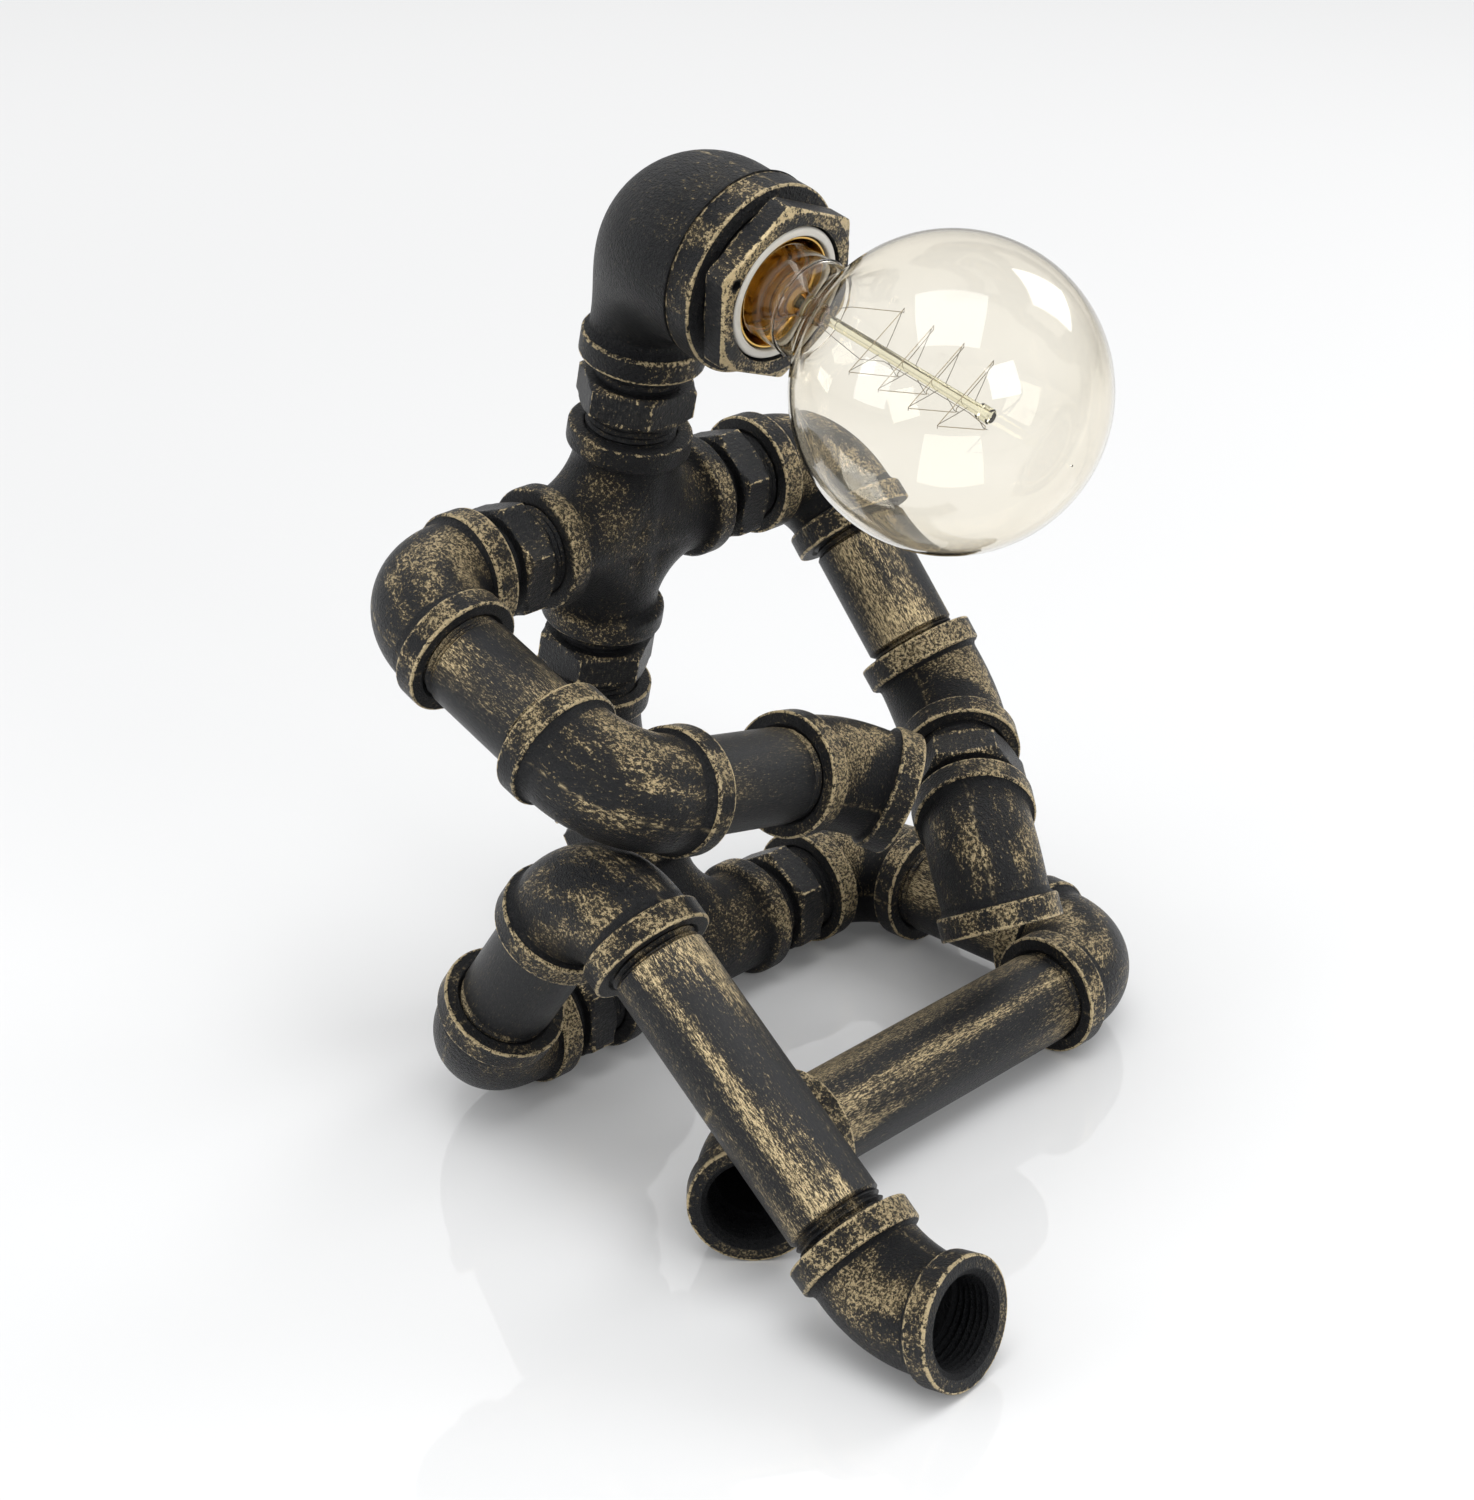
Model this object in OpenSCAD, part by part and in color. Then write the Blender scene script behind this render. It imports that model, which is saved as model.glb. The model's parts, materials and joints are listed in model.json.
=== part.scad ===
// Desk lamp in the shape of a seated figure, built up from iron pipe fittings.
// The figure faces -Y, its left side is +X, and it sits on the plane z = 0.

/* [Pipe and thread] */
// Outside diameter of the pipe
pipe_d = 26.7; // [26.5:0.1:27]
// Inside diameter of the pipe and of the ways through the fittings
way_d = 21; // [19:0.5:21.5]
// Diameter at which male and female threads meet
thread_d = 26; // [25.6:0.1:26.2]
// How deep a threaded end goes into a fitting
thread_depth = 11.5; // [10:0.5:12]
// Length of bare thread left in sight beside a fitting
bare_thread = 3; // [1:0.5:4]
// Radial gap in the threads that are left free to turn
turning_gap = 0.05; // [0.02:0.01:0.09]

/* [Fittings] */
// Diameter of the raised band round each port
band_d = 35.2; // [34.6:0.2:36]
// Width of the raised band
band_w = 7; // [6:0.5:8]
// Diameter of a fitting's body between its bands
body_d = 31.2; // [30.8:0.1:31.2]
// Centre to end of a right-angle elbow
elbow_90 = 27.5; // [27:0.5:29]
// Centre to end of a 45 degree elbow
elbow_45 = 21.5; // [21:0.5:23]
// Centre to end of the cross that makes the chest
cross_end = 31.5; // [31:0.5:33]
// Centre to end of the tee that makes the pelvis
tee_end = 33; // [32:0.5:34]
// Distance between the bands at the spine, right shoulder and left wrist nipples
nipple_gap = 20.5; // [20:0.5:22]
// Distance between the bands at the neck nipple
neck_gap = 21.5; // [20.5:0.5:22]
// Distance between the bands at the left shoulder nipple
left_shoulder_gap = 20; // [20:0.5:21]
// Distance between the bands at the right hip nipple
right_hip_gap = 20.8; // [20.6:0.1:21]
// Distance between the bands at the left hip nipple
left_hip_gap = 21.9; // [21.9:0.1:22.3]
// Distance between the bands at the waist nipple
waist_gap = 15; // [14.5:0.5:17]
// Size across the flats of a hex nipple
nipple_flats = 30; // [29:0.5:31]
// Width of the hexagon on a nipple
nipple_hex_w = 10; // [8:0.5:10]

/* [Pipe lengths between the bands] */
// Right upper arm
right_upper_arm = 35.2; // [34.8:0.2:35.2]
// Right forearm
right_forearm = 42.7; // [42:0.5:44]
// Left upper arm
left_upper_arm = 38.2; // [37:0.2:39]
// Right thigh
right_thigh = 36.8; // [36.6:0.1:37]
// Right shin
right_shin = 87.8; // [87.6:0.1:88]
// Left thigh
left_thigh = 40.6; // [40:0.1:40.8]
// Left shin
left_shin = 100.4; // [99:0.2:100.6]

/* [Pose] */
// Lean of the waist, backwards from upright
waist_lean = 32.7; // [32.7:0.1:34]
// Turn of the chest about its own axis
chest_turn = -1.2; // [-2:0.1:0]
// Swing of the right upper arm, forwards from hanging
right_arm_swing = 82.2; // [82.2:0.2:83]
// Turn of the right elbow on the upper arm
right_elbow_turn = -15.8; // [-15.8:0.2:-15]
// Turn of the right hand on the forearm
right_hand_turn = 178; // [165:1:185]
// Swing of the left upper arm, backwards from hanging
left_arm_swing = -54.3; // [-55:0.1:-54]
// Turn of the left elbow on the upper arm
left_elbow_turn = -32; // [-34:0.5:-31]
// Turn of the left hand on its nipple
left_hand_turn = 159.4; // [156:0.2:160]
// Splay of the right shin, outwards from straight ahead
right_shin_splay = 2.6; // [2.6:0.1:3]
// Turn of the right foot on the shin
right_foot_turn = 170.6; // [168:0.2:174]
// Height of the right foot's centre, heel band on the table
right_foot_z = 14.9; // [14.9:0.1:15.2]

/* [Head] */
// Centre of the head elbow to its neck port
head_neck_end = 41; // [40.5:0.5:41.5]
// Centre of the head elbow to its large port
head_face_end = 38.2; // [38:0.1:38.4]
// Diameter of the large band
head_band_d = 53.8; // [53.4:0.2:54.2]
// Width of the large band
head_band_w = 8.7; // [8.5:0.1:9]
// Diameter of the head where it meets the large band
head_body_d = 51.6; // [51.2:0.1:51.8]
// Diameter of the large thread
head_thread_d = 41; // [40.8:0.1:41.2]
// Size across the flats of the hex bushing
bushing_flats = 46; // [45:0.5:47]
// Thickness of the bushing's hexagon
bushing_hex_w = 7.6; // [7.4:0.2:8]
// Gap between the large band and the bushing's hexagon
bushing_gap = 1.8; // [1.4:0.2:2]

/* [Lampholder and bulb] */
// Diameter of the porcelain lip
lip_d = 37.4; // [37:0.2:37.8]
// Diameter of the porcelain body behind the lip
porcelain_d = 34; // [33.8:0.1:34.2]
// Diameter of the porcelain's bore
porcelain_bore_d = 31; // [30.8:0.1:31.2]
// Diameter of the globe
globe_d = 82; // [80:1:82]
// Centre of the head to the centre of the globe
globe_out = 106.5; // [106:0.5:107.5]
// Diameter of the glass neck
glass_neck_d = 27; // [26.6:0.1:27.2]
// Diameter of the bulb's screw cap
cap_d = 26.2; // [26:0.1:26.4]
// Length of the bulb's cap with its contact
cap_l = 24.5; // [24:0.5:25]
// Thickness of the glass
glass_t = 0.8; // [0.6:0.1:1]

/* [Hidden] */
$fn = 96;

iron = [0.21, 0.2, 0.18];
gilt = [0.42, 0.36, 0.24];
band_r = band_d / 2;
body_r = body_d / 2;
pipe_r = pipe_d / 2;
way_r = way_d / 2;
thread_r = thread_d / 2;
free_r = thread_r - turning_gap;
port_depth = thread_depth + 0.5;
head_band_r = head_band_d / 2;
head_body_r = head_body_d / 2;
head_thread_r = head_thread_d / 2;
head_port_depth = 16;

// The origin is on the table, under the middle of the whole figure; the pelvis stands off it
pelvis_x = 2.188;
pelvis_y = 68.726;

// ---- frames: a port's z axis runs on along the chain, its x axis is the way it bends ----
function along(d) = [[1, 0, 0, 0], [0, 1, 0, 0], [0, 0, 1, d], [0, 0, 0, 1]];
function turned(a) = [[cos(a), -sin(a), 0, 0], [sin(a), cos(a), 0, 0], [0, 0, 1, 0], [0, 0, 0, 1]];
function bent(a) = [[cos(a), 0, sin(a), 0], [0, 1, 0, 0], [-sin(a), 0, cos(a), 0], [0, 0, 0, 1]];
function aimed(z, x) = let (y = cross(z, x))
    [[x.x, y.x, z.x, 0], [x.y, y.y, z.y, 0], [x.z, y.z, z.z, 0], [0, 0, 0, 1]];
function at(p) = [[1, 0, 0, p.x], [0, 1, 0, p.y], [0, 0, 1, p.z], [0, 0, 0, 1]];
function through(end, turn, bend) = along(end) * turned(turn) * bent(bend) * along(end);

pelvis = at([pelvis_x, pelvis_y, band_r]);

// the back and the head
waist_port = pelvis * aimed([0, sin(waist_lean), cos(waist_lean)],
    [0, -cos(waist_lean), sin(waist_lean)]) * along(tee_end);
lower_back = waist_port * along(waist_gap);
spine = lower_back * through(elbow_45, 0, 45);
chest = spine * along(nipple_gap + cross_end) * turned(chest_turn);
neck = chest * along(cross_end);
head = neck * along(neck_gap);
face = head * along(head_neck_end) * bent(90);

// the right arm
right_shoulder = chest * aimed([0, -1, 0], [0, 0, -1]) * along(cross_end);
right_arm = right_shoulder * along(nipple_gap) * turned(right_arm_swing);
right_upper = right_arm * through(elbow_90, 0, 90);
right_bend = right_upper * along(right_upper_arm) * turned(right_elbow_turn);
right_fore = right_bend * through(elbow_90, 0, 90);
right_hand = right_fore * along(right_forearm) * turned(right_hand_turn);

// the left arm
left_shoulder = chest * aimed([0, 1, 0], [0, 0, -1]) * along(cross_end);
left_arm = left_shoulder * along(left_shoulder_gap) * turned(left_arm_swing);
left_upper = left_arm * through(elbow_90, 0, 90);
left_bend = left_upper * along(left_upper_arm) * turned(left_elbow_turn);
left_wrist = left_bend * through(elbow_45, 0, 45);
left_hand = left_wrist * along(nipple_gap) * turned(left_hand_turn);

// the right leg: its thigh leans until the foot comes down to the table
thigh_c = 2 * elbow_90 + right_thigh;
shin_c = (elbow_90 + right_shin + elbow_45) * cos(right_shin_splay);
leg_c = sqrt(pow(thigh_c, 2) + pow(shin_c, 2));
right_lean = atan2(thigh_c, shin_c) - asin((right_foot_z - band_r) / leg_c);
right_hip = pelvis * aimed([-1, 0, 0], [0, 0, 1]) * along(tee_end);
right_thigh_base = right_hip * along(right_hip_gap) * turned(-right_lean);
right_thigh_top = right_thigh_base * through(elbow_90, 0, 90);
right_knee = right_thigh_top * along(right_thigh) * turned(-90 - right_shin_splay);
right_shin_top = right_knee * through(elbow_90, 0, 90);
right_foot = right_shin_top * along(right_shin) * turned(right_foot_turn);

// the left leg lies flat
left_hip = pelvis * aimed([1, 0, 0], [0, 0, 1]) * along(tee_end);
left_thigh_base = left_hip * along(left_hip_gap) * turned(90);
left_thigh_top = left_thigh_base * through(elbow_90, 0, 90);
left_knee = left_thigh_top * along(left_thigh);
left_shin_top = left_knee * through(elbow_90, 0, 90);
left_foot = left_shin_top * along(left_shin) * turned(180);

// ---- shapes that repeat ----
// A raised band, its face at z = 0 and its shoulder at z = w
module band(r, w) {
    rotate_extrude() polygon([[0, 0], [r - 0.6, 0], [r, 0.6], [r, w - 1], [r - 1, w], [0, w]]);
}

// A round bar that starts up the z axis and bends towards +X; spare runs on at both ends
module bend_bar(r, bend_r, bend, spare = 0) {
    translate([bend_r, 0, 0]) mirror([1, 0, 0]) rotate([90, spare, 0])
        rotate_extrude(angle = bend + 2 * spare) translate([bend_r, 0]) circle(r);
}

// An elbow, entered at z = 0 and left towards +X
module elbow(end, bend) {
    run = end - band_w;
    bend_r = run / tan(bend / 2);
    difference() {
        union() {
            band(band_r, band_w);
            translate([0, 0, band_w]) bend_bar(body_r, bend_r, bend, 2);
            multmatrix(through(end, 0, bend)) mirror([0, 0, 1]) band(band_r, band_w);
        }
        translate([0, 0, band_w]) bend_bar(way_r, bend_r, bend);
        translate([0, 0, -1]) cylinder(r = thread_r, h = port_depth + 1);
        multmatrix(through(end, 0, bend)) translate([0, 0, -port_depth])
            cylinder(r = thread_r, h = port_depth + 1);
    }
}

// One leg of a cross or tee, from the centre out along +Z
module branch(end) {
    cylinder(r = body_r - 0.5, h = end - band_w / 2);
    translate([0, 0, end]) mirror([0, 0, 1]) band(band_r, band_w);
}

module branch_way(end) {
    cylinder(r = way_r, h = end);
    translate([0, 0, end - port_depth]) cylinder(r = thread_r, h = port_depth + 1);
}

// The swelling between two legs of a cross or tee, from -Z round to +X
module corner(end) {
    run = end - band_w - 0.5;
    translate([0, 0, -run]) bend_bar(body_r - 0.8, run, 90);
}

// A hex nipple that starts at z = 0 and joins bands that lie gap apart
// (hex_turn turns the hexagon)
module nipple(gap, end_r = thread_r, hex_turn = 0) {
    middle = gap / 2;
    difference() {
        union() {
            translate([0, 0, -thread_depth]) cylinder(r = thread_r, h = thread_depth + middle);
            translate([0, 0, middle]) cylinder(r = end_r, h = middle + thread_depth);
            translate([0, 0, middle - nipple_hex_w / 2]) rotate([0, 0, hex_turn])
                cylinder(d = nipple_flats / cos(30), h = nipple_hex_w, $fn = 6);
        }
        translate([0, 0, -thread_depth - 1])
            cylinder(r = way_r - 1, h = gap + 2 * thread_depth + 2);
    }
}

// A length of pipe that starts at z = 0, its far thread of radius end_r
module pipe(length, end_r = thread_r) {
    difference() {
        union() {
            translate([0, 0, -thread_depth]) cylinder(r = thread_r, h = thread_depth + length / 2);
            translate([0, 0, length / 2]) cylinder(r = end_r, h = length / 2 + thread_depth);
            translate([0, 0, bare_thread]) cylinder(r = pipe_r, h = length - 2 * bare_thread);
        }
        translate([0, 0, -thread_depth - 1])
            cylinder(r = way_r, h = length + 2 * thread_depth + 2);
    }
}

// ---- the back ----
grommet_drop = 30;
grommet_face = 17;
grommet_hole_r = 4.6;
cord_r = 3.2;
flex_r = 2.6;
grommet_way = pelvis * aimed([0, cos(grommet_drop), -sin(grommet_drop)], [1, 0, 0]);

module pelvis_tee() {
    color(iron) difference() {
        union() {
            multmatrix(pelvis) {
                for (side = [-90, 90]) rotate([0, side, 0]) branch(tee_end);
                rotate([-waist_lean, 0, 0]) {
                    branch(tee_end);
                    for (side = [0, 180]) rotate([0, 0, side]) mirror([0, 0, 1]) corner(tee_end);
                }
            }
            multmatrix(grommet_way) cylinder(r = 7.4, h = grommet_face);
        }
        multmatrix(pelvis) {
            for (side = [-90, 90]) rotate([0, side, 0]) branch_way(tee_end);
            rotate([-waist_lean, 0, 0]) branch_way(tee_end);
        }
        multmatrix(grommet_way) cylinder(r = grommet_hole_r, h = grommet_face + 1);
    }
}

module waist_nipple() {
    color(iron) multmatrix(waist_port) nipple(waist_gap);
}

module lower_back_elbow() {
    color(gilt) multmatrix(lower_back) elbow(elbow_45, 45);
}

module spine_nipple() {
    color(iron) multmatrix(spine) nipple(nipple_gap);
}

module chest_cross() {
    color(iron) multmatrix(chest) difference() {
        union() {
            for (a = [0:90:270]) rotate([a, 0, 0]) {
                branch(cross_end);
                rotate([0, 0, 90]) corner(cross_end);
            }
        }
        for (a = [0:90:270]) rotate([a, 0, 0]) branch_way(cross_end);
    }
}

module neck_nipple() {
    color(iron) multmatrix(neck) nipple(neck_gap, free_r, 30);
}

// ---- the head ----
head_reach = head_face_end - head_band_w;
head_sides = 64;
// a bore with flat facets is opened a little so that a round thread still fits
head_ease = 1 / cos(180 / head_sides);

// Rings of points round the head elbow: across the neck port, across the face port, and round
// the dome between them, tilted by a. The dome sweeps round a throat of radius throat_r whose
// centre lies throat_x ahead of the neck's axis
throat_r = 4;
throat_x = body_r + throat_r;
dome_r = head_body_r + 0.35;
throat_z = head_neck_end + head_body_r - 2 * dome_r - throat_r;
function neck_ring(r, z) = [for (i = [0:head_sides - 1]) let (b = 360 * i / head_sides)
    [r * cos(b), r * sin(b), z]];
function face_ring(r, x) = [for (i = [0:head_sides - 1]) let (b = 360 * i / head_sides)
    [x, r * sin(b), head_neck_end - r * cos(b)]];
function swell(a) = body_r + (dome_r - body_r) * pow(sin(a), 2);
function dome_ring(r, a) = [for (i = [0:head_sides - 1])
    let (b = 360 * i / head_sides, out = r * cos(b) - swell(a))
        [throat_x + (out - throat_r) * cos(a), r * sin(b), throat_z + (throat_r - out) * sin(a)]];

head_points = [
    each neck_ring(thread_r * head_ease, 0), each neck_ring(band_r - 0.6, 0), each neck_ring(band_r, 0.6),
    each neck_ring(band_r, band_w - 0.8), each neck_ring(band_r - 0.8, band_w),
    for (a = [0:10:90]) each dome_ring(swell(a), a),
    each face_ring(head_body_r, head_reach),
    each face_ring(head_band_r - 0.8, head_reach), each face_ring(head_band_r, head_reach + 0.8),
    each face_ring(head_band_r, head_face_end - 0.6), each face_ring(head_band_r - 0.6, head_face_end),
    each face_ring(head_thread_r * head_ease, head_face_end),
    each face_ring(head_thread_r * head_ease, head_face_end - head_port_depth),
    each face_ring(18, head_face_end - head_port_depth), each face_ring(18, 19.5),
    for (a = [50:-10:20]) each dome_ring(way_r + 5 * (a - 20) / 30, a),
    each neck_ring(way_r, port_depth), each neck_ring(thread_r * head_ease, port_depth)];

// A skin over rings of points, closed at both ends
module skin(points, sides) {
    rings = len(points) / sides;
    polyhedron(points, concat(
        [[for (i = [0:sides - 1]) i]],
        [for (j = [0:rings - 2], i = [0:sides - 1]) let (k = (i + 1) % sides)
            [j * sides + i, (j + 1) * sides + i, (j + 1) * sides + k, j * sides + k]],
        [[for (i = [sides - 1:-1:0]) (rings - 1) * sides + i]]));
}

// A skin over rings of points whose last ring joins the first, so a way runs through it
module hollow_skin(points, sides) {
    rings = len(points) / sides;
    polyhedron(points, [for (j = [0:rings - 1], i = [0:sides - 1])
        let (k = (i + 1) % sides, n = (j + 1) % rings)
            [j * sides + i, n * sides + i, n * sides + k, j * sides + k]]);
}

module head_elbow() {
    color(iron) multmatrix(head) hollow_skin(head_points, head_sides);
}

// distances out from the head's centre
hex_back = head_face_end + bushing_gap;
hex_front = hex_back + bushing_hex_w;
bushing_back = head_face_end - 13;
lip_front = hex_front - 0.3;
lip_back = lip_front - 3;
porcelain_back = 14;
porcelain_floor = 18;
cap_front = lip_front - 2.3;
cap_tip = cap_front - cap_l;

module head_bushing() {
    screw_r = bushing_flats / 2 - 1.6;
    hex_turn = 10;
    color(iron) multmatrix(face) difference() {
        union() {
            translate([0, 0, bushing_back]) cylinder(r = head_thread_r, h = hex_back - bushing_back + 1);
            translate([0, 0, hex_back]) rotate([0, 0, hex_turn])
                cylinder(d = bushing_flats / cos(30), h = bushing_hex_w, $fn = 6);
        }
        translate([0, 0, bushing_back - 1])
            cylinder(d = porcelain_d, h = hex_front - bushing_back + 2);
        translate([0, 0, lip_back]) cylinder(d = lip_d + 0.8, h = 4);
        rotate([0, 0, hex_turn - 120]) translate([screw_r, 0, hex_front - 7]) cylinder(r = 1.4, h = 8);
    }
}

module porcelain_body() {
    back_r = 11.5;
    color("ivory") multmatrix(face) rotate_extrude() polygon([
        [1.5, porcelain_back], [back_r, porcelain_back], [porcelain_d / 2, porcelain_back + 6],
        [porcelain_d / 2, lip_back], [lip_d / 2, lip_back], [lip_d / 2, lip_front - 0.6],
        [lip_d / 2 - 0.6, lip_front], [porcelain_bore_d / 2, lip_front],
        [porcelain_bore_d / 2, porcelain_floor], [1.5, porcelain_floor]]);
}

module retaining_ring() {
    color("silver") multmatrix(face) difference() {
        translate([0, 0, bushing_back - 2.4]) cylinder(r = head_thread_r - 0.6, h = 2.4);
        translate([0, 0, bushing_back - 3]) cylinder(d = porcelain_d, h = 4);
    }
}

shell_r = porcelain_bore_d / 2;
module screw_shell() {
    shell_t = 0.5;
    color([0.78, 0.55, 0.22]) multmatrix(face) rotate_extrude() polygon([
        [5, porcelain_floor], [shell_r - 1, porcelain_floor], [shell_r - 1, lip_front - 5],
        [shell_r, lip_front - 4], [shell_r, lip_front - 1], [shell_r - shell_t, lip_front - 1],
        [shell_r - shell_t, lip_front - 4], [shell_r - 1 - shell_t, lip_front - 5],
        [shell_r - 1 - shell_t, porcelain_floor + shell_t], [5, porcelain_floor + shell_t]]);
}

module centre_contact() {
    color([0.8, 0.6, 0.3]) multmatrix(face) {
        translate([0, 0, porcelain_floor]) cylinder(r = 4, h = cap_tip - porcelain_floor);
        translate([0, 0, porcelain_back]) cylinder(r = 1.5, h = porcelain_floor - porcelain_back);
    }
}

module terminal_screws() {
    color("silver") multmatrix(face) for (side = [-1, 1]) translate([0, side * 7, porcelain_back - 2])
        cylinder(r = 2, h = 2);
}

head_flex_bend = 12.5;
module head_flex() {
    color([0.1, 0.1, 0.1]) multmatrix(head) {
        cylinder(r = flex_r, h = head_neck_end - head_flex_bend);
        translate([0, 0, head_neck_end - head_flex_bend]) bend_bar(flex_r, head_flex_bend, 90);
        translate([head_flex_bend, 0, head_neck_end]) rotate([0, 90, 0])
            cylinder(r = flex_r, h = porcelain_back - head_flex_bend);
    }
}

module body_flex() {
    run = elbow_45 - band_w;
    back_l = nipple_gap + 2 * cross_end + neck_gap + band_w;
    color([0.1, 0.1, 0.1]) {
        multmatrix(lower_back) {
            translate([0, 0, -waist_gap - tee_end])
                cylinder(r = flex_r, h = waist_gap + tee_end + band_w);
            translate([0, 0, band_w]) bend_bar(flex_r, run / tan(22.5), 45);
        }
        multmatrix(spine) translate([0, 0, -band_w]) cylinder(r = flex_r, h = back_l);
    }
}

module cord_grommet() {
    color([0.12, 0.12, 0.12]) multmatrix(grommet_way) difference() {
        union() {
            translate([0, 0, 12]) cylinder(r = grommet_hole_r, h = grommet_face - 12);
            translate([0, 0, grommet_face]) cylinder(r = 6.6, h = 1.8);
        }
        cylinder(r = cord_r, h = 30);
    }
}

// ---- the bulb ----
globe_r = globe_d / 2;
neck_r = glass_neck_d / 2;
flare_r = 16;
flare_back = sqrt(pow(globe_r + flare_r, 2) - pow(neck_r + flare_r, 2));
flare_turn = atan2(flare_back, neck_r + flare_r);
// The neck's end stands inside the cap's rim, and its shoulder rests on the rim
function neck_profile(inset) = let (end_r = cap_d / 2 - 0.45 - inset, seat = cap_front + 0.05 + inset)
    concat([[0, cap_front - 2], [end_r, cap_front - 2], [end_r, seat], [neck_r - inset, seat]],
    [for (i = [0:8]) let (a = 180 - flare_turn * i / 8)
        [neck_r + flare_r + (flare_r + inset) * cos(a),
            globe_out - flare_back + (flare_r + inset) * sin(a)]],
    [[0, globe_out - 30]]);

module bulb_form(inset) {
    translate([0, 0, globe_out]) sphere(r = globe_r - inset);
    rotate_extrude() polygon(neck_profile(inset));
}

module bulb_glass() {
    color([0.95, 0.88, 0.7, 0.4]) multmatrix(face) difference() {
        bulb_form(0);
        bulb_form(glass_t);
        translate([0, 0, cap_front - 3]) cylinder(r = neck_r - glass_t - 1, h = 4);
    }
}

cap_r = cap_d / 2;
module bulb_cap() {
    skirt_l = 20;
    color([0.8, 0.65, 0.35]) multmatrix(face) rotate_extrude() polygon([
        [cap_r - 3.4, cap_front - skirt_l], [cap_r, cap_front - skirt_l + 2], [cap_r, cap_front],
        [cap_r - 0.4, cap_front], [cap_r - 0.4, cap_front - 2], [cap_r - 0.4, cap_front - skirt_l + 2.2],
        [cap_r - 3.6, cap_front - skirt_l + 0.4]]);
}

module bulb_insulator() {
    color([0.1, 0.1, 0.12]) multmatrix(face)
        translate([0, 0, cap_tip + 1]) cylinder(r1 = 5, r2 = cap_r - 3.6, h = 3.5);
}

module bulb_contact() {
    color("silver") multmatrix(face) translate([0, 0, cap_tip]) cylinder(r = 4, h = 1);
}

// distances out from the head's centre
stem_pinch = 60;
stem_tip = globe_out + 14;
hook_low = stem_pinch + 12;
hook_high = stem_tip - 6;
hooks = 12;
cage_r = 15;
turn_r = 0.8;
wire_r = 0.35;
filament_r = 0.3;

module bulb_stem() {
    flare_base = cap_front + 1;
    color([0.9, 0.9, 0.85, 0.6]) multmatrix(face) {
        translate([0, 0, flare_base]) cylinder(r1 = 9, r2 = 3.2, h = 8);
        translate([0, 0, flare_base + 8]) cylinder(r = 3.2, h = stem_pinch - flare_base - 8);
        translate([0, 0, stem_pinch]) cylinder(r = 1.3, h = stem_tip - stem_pinch);
        translate([0, 0, stem_tip]) sphere(r = 2.2, $fn = 32);
    }
}

function hook_turn(i) = 360 * i / hooks;
function hook_out(i) = i % 2 == 0 ? hook_low : hook_high;

// The wires that hold the filament stand out from the rod, square to it
module bulb_supports() {
    color("gray") multmatrix(face) for (i = [0:hooks - 1])
        translate([0, 0, hook_out(i)]) rotate([0, 90, hook_turn(i)])
            translate([0, 0, 1.3]) cylinder(r = wire_r, h = cage_r - turn_r - filament_r - 1.3);
}

// The filament runs up and down round a cage; each turn is a half circle over a support
filament_path = [for (i = [0:hooks - 1]) let (way = i % 2 == 0 ? -1 : 1) for (step = [-2:2])
    let (a = hook_turn(i) + turn_r / cage_r * 57.3 * sin(step * 45))
        [a, hook_out(i) + way * turn_r * cos(step * 45)]];
filament_ends = len(filament_path) - 1;

function on_cage(p) = [cage_r * cos(p.x), cage_r * sin(p.x), p.y];
function filament_ring(i) = let (
    from = on_cage(filament_path[max(i - 1, 0)]), to = on_cage(filament_path[min(i + 1, filament_ends)]),
    ahead = (to - from) / norm(to - from), a = filament_path[i].x, out = [cos(a), sin(a), 0],
    side = cross(ahead, out) / norm(cross(ahead, out)), face_out = cross(side, ahead))
        [for (k = [0:5]) on_cage(filament_path[i])
            + filament_r * (cos(60 * k) * face_out + sin(60 * k) * side)];

module bulb_filament() {
    color([0.95, 0.75, 0.35]) multmatrix(face)
        skin([for (i = [0:filament_ends]) each filament_ring(i)], 6);
}

// ---- the arms ----
module right_shoulder_nipple() {
    color(iron) multmatrix(right_shoulder) nipple(nipple_gap, free_r);
}

module right_shoulder_elbow() {
    color(gilt) multmatrix(right_arm) elbow(elbow_90, 90);
}

module right_upper_arm_pipe() {
    color(iron) multmatrix(right_upper) pipe(right_upper_arm, free_r);
}

module right_elbow() {
    color(gilt) multmatrix(right_bend) elbow(elbow_90, 90);
}

module right_forearm_pipe() {
    color(iron) multmatrix(right_fore) pipe(right_forearm, free_r);
}

module right_hand_elbow() {
    color(gilt) multmatrix(right_hand) elbow(elbow_45, 45);
}

module left_shoulder_nipple() {
    color(iron) multmatrix(left_shoulder) nipple(left_shoulder_gap, free_r);
}

module left_shoulder_elbow() {
    color(gilt) multmatrix(left_arm) elbow(elbow_90, 90);
}

module left_upper_arm_pipe() {
    color(iron) multmatrix(left_upper) pipe(left_upper_arm, free_r);
}

module left_elbow() {
    color(gilt) multmatrix(left_bend) elbow(elbow_45, 45);
}

module left_wrist_nipple() {
    color(iron) multmatrix(left_wrist) nipple(nipple_gap, free_r);
}

module left_hand_elbow() {
    color(gilt) multmatrix(left_hand) elbow(elbow_45, 45);
}

// ---- the legs ----
module right_hip_nipple() {
    color(iron) multmatrix(right_hip) nipple(right_hip_gap);
}

module right_hip_elbow() {
    color(gilt) multmatrix(right_thigh_base) elbow(elbow_90, 90);
}

module right_thigh_pipe() {
    color(iron) multmatrix(right_thigh_top) pipe(right_thigh);
}

module right_knee_elbow() {
    color(gilt) multmatrix(right_knee) elbow(elbow_90, 90);
}

module right_shin_pipe() {
    color(iron) multmatrix(right_shin_top) pipe(right_shin);
}

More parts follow.
